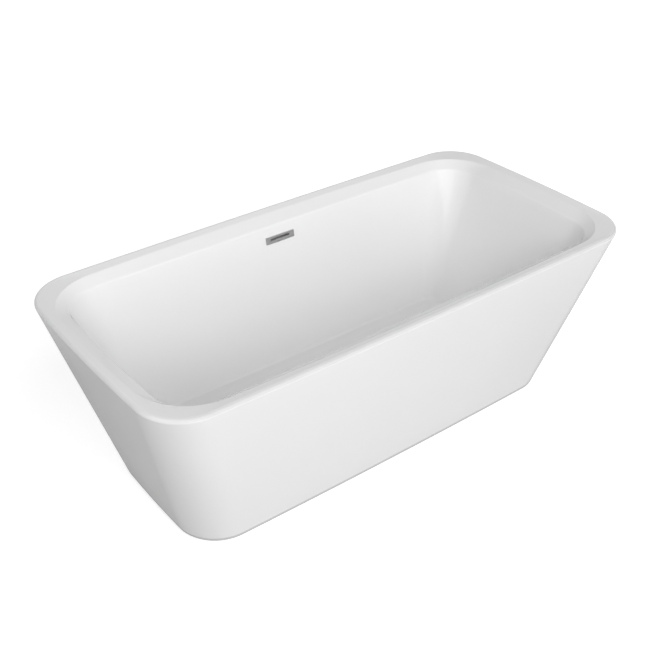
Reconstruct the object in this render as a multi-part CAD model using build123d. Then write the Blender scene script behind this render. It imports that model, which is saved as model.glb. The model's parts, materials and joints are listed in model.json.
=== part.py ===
from build123d import *
import os
from collections import namedtuple
from math import asin, atan2, cos, degrees, hypot, radians, sin, sqrt, tan

# Freestanding double-walled bathtub. Millimetres, +X along the tub, +Y towards the overflow side, +Z up.
# The origin is on the room floor, under the middle of the tub.

# Rim: length and width over its widest line, which lies on the rounded edge
length = 1700.0
width = 823.0
rim_end_bow = 12.3
rim_side_bow = 6.0
rim_corner = 139.0
rim_edge_round = 10.0
rim_depth = 16.0
rim_crest = 2.0

# Outer wall at the room floor
base_length = 1392.6
base_width = 554.4
base_end_bow = 8.6
base_side_bow = 7.4
base_corner = 133.5
skirt_wall = 5.0
skirt_floor_gap = 3.0
skirt_edge_round = 5.0
skirt_return = 32.0

# Rim top falls inwards to the lip edge, then a sloping band leads down to the basin wall
lip_width = 31.6
lip_fall = 6.4
lip_end_bow = 21.0
lip_side_bow = 17.6
lip_corner = 176.0
band_width = 43.1
band_fall = 24.2
band_end_bow = 11.7
band_side_bow = 3.0
band_corner = 117.0
band_round = 6.0
lip_round = 3.0

# Basin
basin_depth = 478.0
basin_skin = 5.0
floor_end_cavity = 96.3
floor_side_cavity = 39.2
floor_end_bow = 4.0
floor_side_bow = 3.0
floor_corner = 34.0
floor_round = 16.0
bead_width = 12.0
bead_height = 10.0

# Support frame
board_thickness = 12.0
board_margin = 34.0
board_corner = 25.0
board_drain_hole = 92.0
board_link_clearance = 5.0
board_screw_spacing = 210.0
cross_height = 37.0
cross_width = 25.0
cross_overhang = 5.0
cross_outer_offset = 440.0
cross_inner_offset = 170.0
rail_length = 1160.0
rail_height = 30.0
rail_width = 30.0
rail_spacing = 330.0
tube_wall = 2.0
cap_thickness = 3.0
cap_plug_depth = 12.0
cap_clearance = 0.1

# Frame fasteners
bolt_diameter = 8.0
bolt_head_height = 5.3
bolt_head_across_flats = 13.0
bolt_end_past_nut = 3.0
nut_height = 6.5
hole_clearance = 0.2
screw_diameter = 4.8
screw_head_diameter = 9.0
screw_head_height = 3.0
screw_bite = 9.0
screw_access_hole = 14.0

# Levelling feet
foot_end_inset = 45.0
pad_diameter = 50.0
pad_height = 8.0
pad_round = 2.0
stud_diameter = 12.0
stud_spigot_diameter = 10.0
stud_spigot_length = 5.0
stud_reach = 36.0
collar_height = 8.5
collar_across_flats = 19.0
foot_stop_gap = 0.5
locknut_height = 7.0
locknut_across_flats = 19.0
insert_flange_height = 2.0
insert_flange_diameter = 20.0
insert_barrel_diameter = 17.0
insert_barrel_length = 14.0
running_gap = 0.05

# Clips that hold the foot of the skirt to the rails
clip_offset = 300.0
clip_width = 30.0
clip_thickness = 2.0
clip_lap = 22.0
clip_rise = 24.0
clip_screw_diameter = 4.0
clip_screw_head_diameter = 8.0
clip_screw_head_height = 2.4
clip_screw_bite = 3.0

# Overflow, on the middle of the back wall
overflow_depth = 75.0
cover_length = 109.0
cover_height = 24.0
cover_thickness = 4.0
cover_face = 1.6
cover_rim = 2.5
cover_round = 0.8
cover_seat_gap = 0.05
slot_length = 74.0
slot_height = 6.5
slot_rise = 1.0
wall_slot_margin = 3.5
post_diameter = 5.0
post_edge = 4.5
gasket_thickness = 2.0
gasket_margin = 4.0
overflow_box_wall = 3.0
overflow_box_height = 30.0
post_nut_across_flats = 8.0
post_nut_height = 4.0

# Pipes
pipe_diameter = 32.0
pipe_wall = 2.0
pipe_set_in = 18.0
socket_wall = 2.6
socket_length = 22.0
socket_clearance = 0.15
nut_clearance = 0.1
elbow_radius = 26.0
union_nut_wall = 2.15
union_nut_lap = 6.0
union_nut_lip = 3.0
cone_washer_length = 5.0
pipe_nut_gap = 2.0

# Waste in the basin floor
drain_hole_diameter = 52.0
drain_seal_thickness = 1.0
flange_diameter = 72.0
flange_height = 3.0
flange_round = 1.2
seat_diameter = 54.0
throat_diameter = 49.0
throat_wall = 2.5
throat_length = 22.0
spider_bar_width = 5.0
spider_bar_height = 6.0
drain_washer_thickness = 2.0
drain_body_flange_diameter = 78.0
drain_body_flange_height = 4.0
drain_body_diameter = 60.0
drain_body_wall = 3.0
drain_thread_length = 15.0
drain_body_foot = 47.0
tailpiece_diameter = 40.0
tailpiece_neck_diameter = 38.0
tailpiece_bore = 35.0
tailpiece_foot = 6.0
tailpiece_shoulder_gap = 1.0
tail_socket_length = 12.0
tail_set_in = 10.0

# Click stopper
cap_diameter = 64.0
cap_edge_height = 2.4
cap_dome = 2.0
cap_lift = 0.3
boss_diameter = 20.0
boss_height = 4.0
stopper_seal_thickness = 2.0
seal_gap = 0.3
sleeve_diameter = 18.0
sleeve_height = 14.0
sleeve_screw_diameter = 8.0
sleeve_floor = 1.5
stem_diameter = 8.0

# Levels, from the room floor up
collar_foot = pad_height
locknut_foot = collar_foot + collar_height + foot_stop_gap
insert_foot = locknut_foot + locknut_height
rail_foot = insert_foot + insert_flange_height
cross_foot = rail_foot + rail_height
board_foot = cross_foot + cross_height
underside = board_foot + board_thickness
floor_level = underside + basin_skin
height = floor_level + basin_depth
rim_seam = height - rim_depth
lip_level = height - lip_fall
band_level = lip_level - band_fall

# The basin floor lies inside the foot of the outer wall, with the cavity between
floor_length = base_length - 2 * floor_end_cavity
floor_width = base_width - 2 * floor_side_cavity
cross_offsets = [-cross_outer_offset, -cross_inner_offset, cross_inner_offset, cross_outer_offset]
clip_offsets = [-clip_offset, clip_offset]

Ring = namedtuple("Ring", "half_length half_width end_bow side_bow corner z")


def edge_setback(spread):
    """How far the rounded rim edge starts from the corner where wall and rim top would meet."""
    return rim_edge_round * tan(radians(45) + atan2(spread, height) / 2)


end_setback = edge_setback((length - base_length) / 2)
side_setback = edge_setback((width - base_width) / 2)
rim_ring = Ring(
    length / 2 + end_setback - rim_edge_round,
    width / 2 + side_setback - rim_edge_round,
    rim_end_bow,
    rim_side_bow,
    rim_corner,
    height,
)
base_ring = Ring(base_length / 2, base_width / 2, base_end_bow, base_side_bow, base_corner, 0.0)
lip_ring = Ring(
    length / 2 - lip_width,
    width / 2 - lip_width,
    lip_end_bow,
    lip_side_bow,
    lip_corner,
    lip_level,
)
band_inset = lip_width + band_width
band_ring = Ring(
    length / 2 - band_inset,
    width / 2 - band_inset,
    band_end_bow,
    band_side_bow,
    band_corner,
    band_level,
)
floor_ring = Ring(floor_length / 2, floor_width / 2, floor_end_bow, floor_side_bow, floor_corner, floor_level)

FROM_BELOW = (Align.CENTER, Align.CENTER, Align.MIN)


def grown(ring, by, drop=0.0):
    """The same ring, larger all round by one amount and lower by another."""
    return Ring(
        ring.half_length + by,
        ring.half_width + by,
        ring.end_bow,
        ring.side_bow,
        ring.corner + by,
        ring.z - drop,
    )


def ring_wire(ring):
    """A closed outline of four long bowed arcs with a round corner between each two."""
    side_radius = (ring.half_length**2 + ring.side_bow**2) / (2 * ring.side_bow)
    end_radius = (ring.half_width**2 + ring.end_bow**2) / (2 * ring.end_bow)
    side_centre = (0.0, ring.half_width - side_radius)
    end_centre = (ring.half_length - end_radius, 0.0)
    span = hypot(end_centre[0] - side_centre[0], end_centre[1] - side_centre[1])
    along = ((side_radius - ring.corner) ** 2 - (end_radius - ring.corner) ** 2 + span**2) / (2 * span)
    across = sqrt((side_radius - ring.corner) ** 2 - along**2)
    ux = (end_centre[0] - side_centre[0]) / span
    uy = (end_centre[1] - side_centre[1]) / span
    cx = side_centre[0] + ux * along + uy * across
    cy = side_centre[1] + uy * along - ux * across
    side_share = side_radius / (side_radius - ring.corner)
    end_share = end_radius / (end_radius - ring.corner)
    sx = side_centre[0] + (cx - side_centre[0]) * side_share
    sy = side_centre[1] + (cy - side_centre[1]) * side_share
    ex = end_centre[0] + (cx - end_centre[0]) * end_share
    ey = end_centre[1] + (cy - end_centre[1]) * end_share
    reach = hypot((sx + ex) / 2 - cx, (sy + ey) / 2 - cy)
    mx = cx + ((sx + ex) / 2 - cx) * ring.corner / reach
    my = cy + ((sy + ey) / 2 - cy) * ring.corner / reach
    stations = [
        (ex, -ey), (ring.half_length, 0.0), (ex, ey), (mx, my),
        (sx, sy), (0.0, ring.half_width), (-sx, sy), (-mx, my),
        (-ex, ey), (-ring.half_length, 0.0), (-ex, -ey), (-mx, -my),
        (-sx, -sy), (0.0, -ring.half_width), (sx, -sy), (mx, -my),
    ]
    stations = [Vector(x, y, ring.z) for x, y in stations]
    edges = []
    for start in range(0, 16, 2):
        end = (start + 2) % 16
        edges.append(Edge.make_three_point_arc(stations[start], stations[start + 1], stations[end]))
    return Wire(edges)


def shell_loft(lower, upper):
    """A solid with straight walls between two rings."""
    return Solid.make_loft([ring_wire(lower), ring_wire(upper)], True)


def above(shape, z):
    return shape.split(Plane.XY.offset(z), keep=Keep.TOP)


def below(shape, z):
    return shape.split(Plane.XY.offset(z), keep=Keep.BOTTOM)


def edges_at(shape, z):
    """The edges that lie in one level."""
    return shape.edges().filter_by(lambda edge: abs(edge.bounding_box().min.Z - z) < 0.01
                                   and abs(edge.bounding_box().max.Z - z) < 0.01)


def rod(diameter, foot, top, x=0.0, y=0.0):
    """An upright cylinder between two levels."""
    return Pos(x, y, foot) * Cylinder(diameter / 2, top - foot, align=FROM_BELOW)


def hexagon(across_flats, foot, top, x=0.0, y=0.0):
    """An upright hexagonal prism between two levels."""
    face = RegularPolygon(across_flats / 2, 6, major_radius=False)
    return Pos(x, y, foot) * extrude(face, top - foot)


def block(x_size, y_size, foot, top, x=0.0, y=0.0):
    """An upright box between two levels."""
    return Pos(x, y, foot) * Box(x_size, y_size, top - foot, align=FROM_BELOW)


outer_form = shell_loft(base_ring, rim_ring)
inner_skirt_form = shell_loft(grown(base_ring, -skirt_wall), grown(rim_ring, -skirt_wall))

# The back wall of the basin at mid-length: its lean, and the plane that the overflow is built on
wall_lean = atan2(band_ring.half_width - floor_ring.half_width, band_level - floor_level)
wall_thickness = basin_skin * (cos(wall_lean) + sin(wall_lean))
overflow_level = height - overflow_depth
overflow_wall_y = floor_ring.half_width + (overflow_level - floor_level) * tan(wall_lean)
overflow_plane = Plane(
    origin=(0, overflow_wall_y, overflow_level), x_dir=(1, 0, 0), z_dir=(0, -cos(wall_lean), sin(wall_lean))
)

# Pipe run: down behind the wall on a line parallel to it, then level under the floor board
socket_radius = pipe_diameter / 2 + socket_clearance + socket_wall
pipe_back = wall_thickness + pipe_nut_gap + union_nut_wall + socket_radius
link_level = (cross_foot + board_foot) / 2
elbow_turn = 90.0 - degrees(wall_lean)
elbow_leg = elbow_radius * tan(radians(elbow_turn) / 2)

# Pipe joints: each place has its origin at a socket's mouth and its Z axis along the pipe that leaves it
overflow_mouth = -overflow_box_height / 2 - socket_length
elbow_run = (link_level - overflow_level + pipe_back * sin(wall_lean)) / cos(wall_lean)
elbow_y = overflow_wall_y + elbow_run * sin(wall_lean) + pipe_back * cos(wall_lean)
elbow_top_mouth = elbow_run + elbow_leg + socket_length
elbow_link_mouth_y = elbow_y - elbow_leg - socket_length
drain_socket_mouth_y = drain_body_diameter / 2 + socket_length
drop_length = overflow_mouth - elbow_top_mouth + 2 * pipe_set_in
overflow_place = overflow_plane.location * Pos(0, overflow_mouth, -pipe_back) * Rot(90, 0, 0)
elbow_top_place = overflow_plane.location * Pos(0, elbow_top_mouth, -pipe_back) * Rot(-90, 0, 0)
elbow_link_place = Pos(0, elbow_link_mouth_y, link_level) * Rot(90, 0, 0)
drain_link_place = Pos(0, drain_socket_mouth_y, link_level) * Rot(-90, 0, 0)
tail_place = Pos(0, 0, drain_body_foot - tail_socket_length) * Rot(180, 0, 0)
tail_socket_radius = tailpiece_neck_diameter / 2 + socket_clearance + socket_wall

# Overflow box behind the wall, wide enough for the slot, with the posts outside it
wall_slot_length = slot_length + 2 * wall_slot_margin
wall_slot_height = slot_height + 2 * wall_slot_margin
box_inner_length = wall_slot_length + gasket_margin
nut_corner = post_nut_across_flats / sqrt(3)
post_x = box_inner_length / 2 + overflow_box_wall + nut_corner + nut_clearance
overflow_flange_length = 2 * post_x + post_diameter + 2 * post_edge
overflow_box_depth = pipe_back + pipe_diameter / 2 + overflow_box_wall - wall_thickness - gasket_thickness

# Levels of the waste
flange_foot = floor_level + drain_seal_thickness
flange_top = flange_foot + flange_height
throat_foot = floor_level - throat_length
spider_top = throat_foot + spider_bar_height
drain_body_top = underside - drain_washer_thickness
cap_foot = flange_top + cap_lift
seal_foot = cap_foot - stopper_seal_thickness
boss_foot = cap_foot - boss_height
sleeve_top = spider_top + sleeve_height
throat_bore = throat_diameter - 2 * throat_wall
nut_seat_depth = wall_thickness + gasket_thickness + overflow_box_wall


def overflow_openings(shape):
    """Cut the slot and the two post holes of the overflow through the basin wall."""
    depth = 4 * wall_thickness
    slot = SlotOverall(wall_slot_length, wall_slot_height)
    shape -= overflow_plane * Pos(0, 0, -depth / 2) * extrude(slot, depth)
    for side in (-1, 1):
        hole = Cylinder(post_diameter / 2 + hole_clearance, depth)
        shape -= overflow_plane * Pos(side * post_x, 0, 0) * hole
    return shape


def basin_shell():
    """Rim, sloping band and bathing well in one acrylic skin, open for waste and overflow."""
    rim_block = above(outer_form, rim_seam)
    rim_block = rim_block.fillet(rim_edge_round, edges_at(rim_block, height))
    floor_back = grown(floor_ring, basin_skin, basin_skin)
    band_foot_back = grown(band_ring, basin_skin, basin_skin)
    well_back = shell_loft(floor_back, band_foot_back)
    well_back = well_back.fillet(floor_round + basin_skin, edges_at(well_back, underside))
    band_back = shell_loft(band_foot_back, grown(lip_ring, basin_skin, basin_skin))
    crest_ring = grown(rim_ring, -end_setback - rim_crest)
    well = shell_loft(floor_ring, band_ring)
    well = well.fillet(floor_round, edges_at(well, floor_level))
    hollow = well + shell_loft(band_ring, lip_ring) + shell_loft(lip_ring, crest_ring)
    basin = rim_block + band_back + well_back - hollow
    basin = basin.fillet(band_round, edges_at(basin, band_level))
    basin = basin.fillet(lip_round, edges_at(basin, lip_level))
    basin = overflow_openings(basin)
    basin -= rod(drain_hole_diameter, underside - basin_skin, floor_level + basin_skin)
    return basin


def outer_skirt():
    """Outer wall from the rim seam to just above the room floor, with a return at its foot."""
    wall = above(below(outer_form, rim_seam), skirt_floor_gap)
    wall = wall.fillet(skirt_edge_round, edges_at(wall, skirt_floor_gap))
    wall -= above(inner_skirt_form, skirt_floor_gap + skirt_wall)
    mouth = grown(base_ring, -skirt_return)
    wall -= extrude(Face(ring_wire(mouth)), skirt_floor_gap + 2 * skirt_wall)
    hole_y = base_width / 2 - skirt_return + clip_lap / 2
    foot = skirt_floor_gap
    for x in clip_offsets:
        for side in (-1, 1):
            wall -= rod(clip_screw_diameter + 2 * hole_clearance, foot, foot + skirt_wall, x, side * hole_y)
    return wall


def rim_bond_bead():
    """Adhesive bead in the corner between the skirt's top and the underside of the rim."""
    bead = below(above(inner_skirt_form, rim_seam - bead_height), rim_seam)
    inset = -skirt_wall - bead_width
    return bead - shell_loft(grown(base_ring, inset), grown(rim_ring, inset))


foot_places = []
for rail_side in (-1, 1):
    for foot_x in (foot_end_inset - rail_length / 2, 0.0, rail_length / 2 - foot_end_inset):
        foot_places.append((foot_x, rail_side * rail_spacing / 2))

bolt_places = []
board_screw_places = []
for cross_x in cross_offsets:
    for side in (-1, 1):
        bolt_places.append((cross_x, side * rail_spacing / 2))
        board_screw_places.append((cross_x, side * board_screw_spacing / 2))


def floor_board():
    """Reinforcing board bonded under the basin floor, cut out round the waste."""
    outline = RectangleRounded(floor_length - 2 * board_margin, floor_width - 2 * board_margin, board_corner)
    board = Pos(0, 0, board_foot) * extrude(outline, board_thickness)
    board -= rod(board_drain_hole, board_foot, underside)
    slot_width = 2 * socket_radius + 2 * union_nut_wall + 2 * board_link_clearance
    slot_end = drain_socket_mouth_y + cone_washer_length + union_nut_lip + board_link_clearance
    board -= block(slot_width, slot_end, board_foot, underside, 0, slot_end / 2)
    for x, y in board_screw_places:
        board -= rod(screw_diameter + 2 * hole_clearance, board_foot, board_foot + screw_bite, x, y)
    return board


def cross_member(x):
    """Box tube across the tub, on top of both rails and under the board."""
    span = rail_spacing + rail_width + 2 * cross_overhang
    tube = block(cross_width, span, cross_foot, board_foot, x)
    tube -= block(cross_width - 2 * tube_wall, span, cross_foot + tube_wall, board_foot - tube_wall, x)
    for side in (-1, 1):
        bolt_y = side * rail_spacing / 2
        screw_y = side * board_screw_spacing / 2
        tube -= rod(bolt_diameter + 2 * hole_clearance, cross_foot, cross_foot + tube_wall, x, bolt_y)
        tube -= rod(screw_access_hole, cross_foot, cross_foot + tube_wall, x, screw_y)
        tube -= rod(screw_diameter + 2 * hole_clearance, board_foot - tube_wall, board_foot, x, screw_y)
    return tube


def frame_rail(side):
    """Box tube along the tub that carries the cross members on three feet."""
    y = side * rail_spacing / 2
    tube = block(rail_length, rail_width, rail_foot, cross_foot, 0, y)
    inner_width = rail_width - 2 * tube_wall
    tube -= block(rail_length, inner_width, rail_foot + tube_wall, cross_foot - tube_wall, 0, y)
    for x in cross_offsets:
        tube -= rod(bolt_diameter + 2 * hole_clearance, rail_foot, cross_foot, x, y)
    for x, foot_y in foot_places:
        if foot_y == y:
            tube -= rod(insert_barrel_diameter + 2 * hole_clearance, rail_foot, rail_foot + tube_wall, x, y)
    for x in clip_offsets:
        hole = Cylinder(clip_screw_diameter / 2 + hole_clearance, 2 * tube_wall)
        tube -= Pos(x, y + side * rail_width / 2, rail_foot + rail_height / 2) * Rot(90, 0, 0) * hole
    return tube


def frame_bolts():
    """Bolts from below through rail and cross member."""
    solids = []
    end = cross_foot + tube_wall + nut_height + bolt_end_past_nut
    for x, y in bolt_places:
        head = hexagon(bolt_head_across_flats, rail_foot - bolt_head_height, rail_foot, x, y)
        solids.append(head + rod(bolt_diameter, rail_foot, end, x, y))
    return Compound(solids)


def frame_nuts():
    """Nuts inside the cross members."""
    solids = []
    foot = cross_foot + tube_wall
    for x, y in bolt_places:
        nut = hexagon(bolt_head_across_flats, foot, foot + nut_height, x, y)
        solids.append(nut - rod(bolt_diameter + 2 * nut_clearance, foot, foot + nut_height, x, y))
    return Compound(solids)


def board_screws():
    """Screws inside the cross members, up into the board."""
    solids = []
    seat = board_foot - tube_wall
    for x, y in board_screw_places:
        head = rod(screw_head_diameter, seat - screw_head_height, seat, x, y)
        solids.append(head + rod(screw_diameter, seat, board_foot + screw_bite, x, y))
    return Compound(solids)


def end_cap(width_y, foot, top, x, y, outward):
    """Plastic plug for the end of a box tube that runs along X."""
    face = block(cap_thickness, width_y, foot, top, x + outward * cap_thickness / 2, y)
    inset = tube_wall + cap_clearance
    plug_x = x - outward * cap_plug_depth / 2
    return face + block(cap_plug_depth, width_y - 2 * inset, foot + inset, top - inset, plug_x, y)


def rail_end_caps():
    solids = []
    for end in (-1, 1):
        for side in (-1, 1):
            y = side * rail_spacing / 2
            solids.append(end_cap(rail_width, rail_foot, cross_foot, end * rail_length / 2, y, end))
    return Compound(solids)


def cross_end_caps():
    solids = []
    reach = rail_spacing / 2 + rail_width / 2 + cross_overhang
    for x in cross_offsets:
        for side in (-1, 1):
            cap = end_cap(cross_width, cross_foot, board_foot, reach, -side * x, 1)
            solids.append(Rot(0, 0, side * 90) * cap)
    return Compound(solids)


def foot_inserts():
    """Threaded inserts in the rails, one over each foot."""
    solids = []
    for x, y in foot_places:
        insert = rod(insert_flange_diameter, insert_foot, rail_foot, x, y)
        insert += rod(insert_barrel_diameter, rail_foot, rail_foot + insert_barrel_length, x, y)
        bore = rod(stud_diameter + 2 * running_gap, insert_foot, rail_foot + insert_barrel_length, x, y)
        solids.append(insert - bore)
    return Compound(solids)


def foot_locknuts():
    """Locknuts tight under the inserts."""
    solids = []
    for x, y in foot_places:
        nut = hexagon(locknut_across_flats, locknut_foot, insert_foot, x, y)
        solids.append(nut - rod(stud_diameter + 2 * running_gap, locknut_foot, insert_foot, x, y))
    return Compound(solids)


def foot_pad(x, y):
    """Round pad on the room floor, with a socket for the stud."""
    pad = Cylinder(pad_diameter / 2, pad_height, align=FROM_BELOW)
    pad = pad.fillet(pad_round, edges_at(pad, pad_height))
    socket_foot = pad_height - stud_spigot_length - running_gap
    return Pos(x, y, 0) * (pad - rod(stud_spigot_diameter + 2 * running_gap, socket_foot, pad_height))


def foot_stud(x, y):
    """Threaded stud with a hexagon collar, turned to set the height."""
    stud = rod(stud_spigot_diameter, pad_height - stud_spigot_length, pad_height)
    stud += hexagon(collar_across_flats, collar_foot, collar_foot + collar_height)
    collar_top = collar_foot + collar_height
    return Pos(x, y, 0) * (stud + rod(stud_diameter, collar_top, collar_top + stud_reach))


def skirt_clip(x, side):
    """Bent strip from the rail's outer face down to the return at the skirt's foot."""
    rail_face = rail_spacing / 2 + rail_width / 2
    reach = base_width / 2 - skirt_return + clip_lap
    foot = skirt_floor_gap + skirt_wall
    leg = block(clip_width, clip_thickness, foot, rail_foot + clip_rise, 0, rail_face + clip_thickness / 2)
    toe = block(clip_width, reach - rail_face, foot, foot + clip_thickness, 0, (rail_face + reach) / 2)
    clip = leg + toe
    screw_hole = Cylinder(clip_screw_diameter / 2 + hole_clearance, 4 * clip_thickness)
    clip -= Pos(0, rail_face, rail_foot + rail_height / 2) * Rot(90, 0, 0) * screw_hole
    clip -= Pos(0, reach - clip_lap / 2, foot) * screw_hole
    turn = 0 if side > 0 else 180
    return Rot(0, 0, turn) * Pos(side * x, 0, 0) * clip


def clip_screws():
    """One screw into the rail and one into the skirt's return for each clip."""
    rail_face = rail_spacing / 2 + rail_width / 2
    return_y = base_width / 2 - skirt_return + clip_lap / 2
    clip_top = skirt_floor_gap + skirt_wall + clip_thickness
    head_top = clip_top + clip_screw_head_height
    upright = rod(clip_screw_head_diameter, clip_top, head_top)
    upright += rod(clip_screw_diameter, clip_top - clip_thickness - clip_screw_bite, clip_top)
    level = Cylinder(clip_screw_head_diameter / 2, clip_screw_head_height, align=FROM_BELOW)
    shank = clip_thickness + tube_wall + clip_screw_bite
    level += Pos(0, 0, -shank) * Cylinder(clip_screw_diameter / 2, shank, align=FROM_BELOW)
    level = Rot(-90, 0, 0) * level
    solids = []
    for side in (-1, 1):
        turn = Rot(0, 0, 0 if side > 0 else 180)
        for x in clip_offsets:
            solids.append(turn * Pos(x, return_y, 0) * upright)
            solids.append(turn * Pos(x, rail_face + clip_thickness, rail_foot + rail_height / 2) * level)
    return Compound(solids)


def on_wall(x, y, z, shape):
    """Place a shape in the overflow's own plane: x along the wall, y up it, z into the basin."""
    return overflow_plane * Pos(x, y, z) * shape


def overflow_cover():
    """Slotted plate on the basin wall, hollow behind, with two threaded posts."""
    plate = extrude(RectangleRounded(cover_length, cover_height, cover_round), cover_thickness)
    plate = plate.fillet(cover_round, edges_at(plate, cover_thickness))
    pocket = Rectangle(cover_length - 2 * cover_rim, cover_height - 2 * cover_rim)
    plate -= extrude(pocket, cover_thickness - cover_face)
    plate -= Pos(0, slot_rise, 0) * extrude(SlotOverall(slot_length, slot_height), cover_thickness)
    post_end = -nut_seat_depth - post_nut_height - post_diameter / 2
    for side in (-1, 1):
        plate += rod(post_diameter, post_end, cover_thickness - cover_face, side * post_x)
    return on_wall(0, 0, cover_seat_gap, plate)


def overflow_gasket():
    """Rubber ring between the back of the basin wall and the overflow body."""
    ring = extrude(Rectangle(overflow_flange_length, overflow_box_height), gasket_thickness)
    mouth = SlotOverall(wall_slot_length + gasket_margin, wall_slot_height + gasket_margin)
    ring -= extrude(mouth, gasket_thickness)
    for side in (-1, 1):
        hole = rod(post_diameter + 2 * hole_clearance, 0, gasket_thickness, side * post_x)
        ring -= hole
    return on_wall(0, 0, -wall_thickness - gasket_thickness, ring)


def overflow_body():
    """Collecting box behind the wall, with a socket for the pipe at its foot."""
    front = -wall_thickness - gasket_thickness
    flange = extrude(Rectangle(overflow_flange_length, overflow_box_height), overflow_box_wall)
    body = Pos(0, 0, front - overflow_box_wall) * flange
    outer_length = box_inner_length + 2 * overflow_box_wall
    outer = extrude(Rectangle(outer_length, overflow_box_height), overflow_box_depth)
    body += Pos(0, 0, front - overflow_box_depth) * outer
    socket_axis = Rot(90, 0, 0)
    mouth_y = -overflow_box_height / 2 - socket_length
    socket = Cylinder(socket_radius, socket_length + overflow_box_height / 2, align=FROM_BELOW)
    body += Pos(0, 0, -pipe_back) * socket_axis * socket
    inner_height = overflow_box_height - 2 * overflow_box_wall
    inner = extrude(Rectangle(box_inner_length, inner_height), overflow_box_depth - overflow_box_wall)
    body -= Pos(0, 0, front - overflow_box_depth + overflow_box_wall) * inner
    way = Cylinder(pipe_diameter / 2 - pipe_wall, overflow_box_height / 2 + socket_length, align=FROM_BELOW)
    body -= Pos(0, 0, -pipe_back) * socket_axis * way
    bore = Cylinder(pipe_diameter / 2 + socket_clearance, pipe_set_in, align=FROM_BELOW)
    body -= Pos(0, mouth_y, -pipe_back) * Rot(-90, 0, 0) * bore
    for side in (-1, 1):
        hole = rod(post_diameter + 2 * hole_clearance, front - overflow_box_wall, front, side * post_x)
        body -= hole
    return on_wall(0, 0, 0, body)


def overflow_nuts():
    solids = []
    for side in (-1, 1):
        nut = hexagon(post_nut_across_flats, -nut_seat_depth - post_nut_height, -nut_seat_depth)
        bore = rod(post_diameter + 2 * nut_clearance, -nut_seat_depth - post_nut_height, -nut_seat_depth)
        solids.append(on_wall(side * post_x, 0, 0, nut - bore))
    return Compound(solids)


def pipe(length_of_pipe, diameter, wall):
    """A plain tube that stands on its own origin."""
    tube = Cylinder(diameter / 2, length_of_pipe, align=FROM_BELOW)
    return tube - Cylinder(diameter / 2 - wall, length_of_pipe, align=FROM_BELOW)


def union_nut(socket_r, pipe_r):
    """Nut over a socket's mouth: the mouth is at the origin and the pipe leaves upwards."""
    reach = cone_washer_length + union_nut_lip
    nut = rod(2 * (socket_r + union_nut_wall), -union_nut_lap, reach)
    nut -= rod(2 * (socket_r + nut_clearance), -union_nut_lap, 0)
    nut -= rod(2 * (socket_r - nut_clearance), 0, cone_washer_length)
    return nut - rod(2 * (pipe_r + socket_clearance), 0, reach)


def cone_washer(socket_r, pipe_r):
    """Tapered seal squeezed between a union nut and its socket."""
    washer_r = socket_r - 2 * nut_clearance
    bore_r = pipe_r + nut_clearance
    taper = socket_wall / 2
    cone = Cone(washer_r - taper, washer_r, cone_washer_length, align=FROM_BELOW)
    return cone - Cylinder(bore_r, cone_washer_length, align=FROM_BELOW)


def overflow_pipe():
    """Pipe behind the wall, from the overflow body down into the elbow."""
    return overflow_place * Pos(0, 0, -pipe_set_in) * pipe(drop_length, pipe_diameter, pipe_wall)


def overflow_elbow():
    """Bend under the edge of the floor board, with a socket at each end."""
    corner = (0, elbow_y, link_level)
    top = overflow_plane.location * Pos(0, elbow_top_mouth, -pipe_back)
    path = FilletPolyline(top.position, corner, (0, elbow_link_mouth_y, link_level), radius=elbow_radius)
    elbow = sweep((path ^ 0) * Circle(socket_radius), path=path)
    elbow -= sweep((path ^ 0) * Circle(pipe_diameter / 2 - pipe_wall), path=path)
    bore = rod(pipe_diameter + 2 * socket_clearance, -pipe_set_in, 0)
    return elbow - elbow_top_place * bore - elbow_link_place * bore


def drain_link_pipe():
    """Level pipe from the elbow to the waste, over the back rail."""
    start = elbow_link_mouth_y + pipe_set_in
    end = drain_socket_mouth_y - pipe_set_in
    tube = pipe(start - end, pipe_diameter, pipe_wall)
    return Pos(0, end, link_level) * Rot(-90, 0, 0) * tube


def pipe_nuts():
    """The union nuts by name, each at its own socket."""
    wide = union_nut(socket_radius, pipe_diameter / 2)
    tail = union_nut(tail_socket_radius, tailpiece_neck_diameter / 2)
    return {
        "overflow_union_nut": overflow_place * wide,
        "elbow_top_nut": elbow_top_place * wide,
        "elbow_link_nut": elbow_link_place * wide,
        "drain_link_nut": drain_link_place * wide,
        "tailpiece_nut": tail_place * tail,
    }


def cone_washers():
    """The tapered seals inside the union nuts."""
    wide = cone_washer(socket_radius, pipe_diameter / 2)
    places = [overflow_place, elbow_top_place, elbow_link_place, drain_link_place]
    solids = [place * wide for place in places]
    solids.append(tail_place * cone_washer(tail_socket_radius, tailpiece_neck_diameter / 2))
    return Compound(solids)


def drain_seal():
    """Flat rubber ring between the waste flange and the basin floor."""
    ring = rod(flange_diameter - 2 * flange_round, floor_level, flange_foot)
    return ring - rod(drain_hole_diameter, floor_level, flange_foot)


def drain_flange():
    """Waste flange with a conical seat, a threaded throat and a four-armed spider at its foot."""
    flange = rod(flange_diameter, flange_foot, flange_top)
    flange = flange.fillet(flange_round, edges_at(flange, flange_top))
    flange += rod(throat_diameter, throat_foot, flange_foot)
    flange -= rod(throat_bore, throat_foot, flange_top)
    seat = Cone(throat_bore / 2, seat_diameter / 2, flange_height, align=FROM_BELOW)
    flange -= Pos(0, 0, flange_foot) * seat
    bar_reach = throat_bore + throat_wall
    spider = block(bar_reach, spider_bar_width, throat_foot, spider_top)
    spider += block(spider_bar_width, bar_reach, throat_foot, spider_top)
    spider += rod(sleeve_diameter, throat_foot, spider_top)
    flange += spider
    return flange - rod(sleeve_screw_diameter + 2 * hole_clearance, throat_foot, spider_top)


def drain_washer():
    """Rubber ring between the waste body and the underside of the basin."""
    ring = rod(drain_body_flange_diameter, drain_body_top, underside)
    return ring - rod(drain_hole_diameter, drain_body_top, underside)


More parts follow.
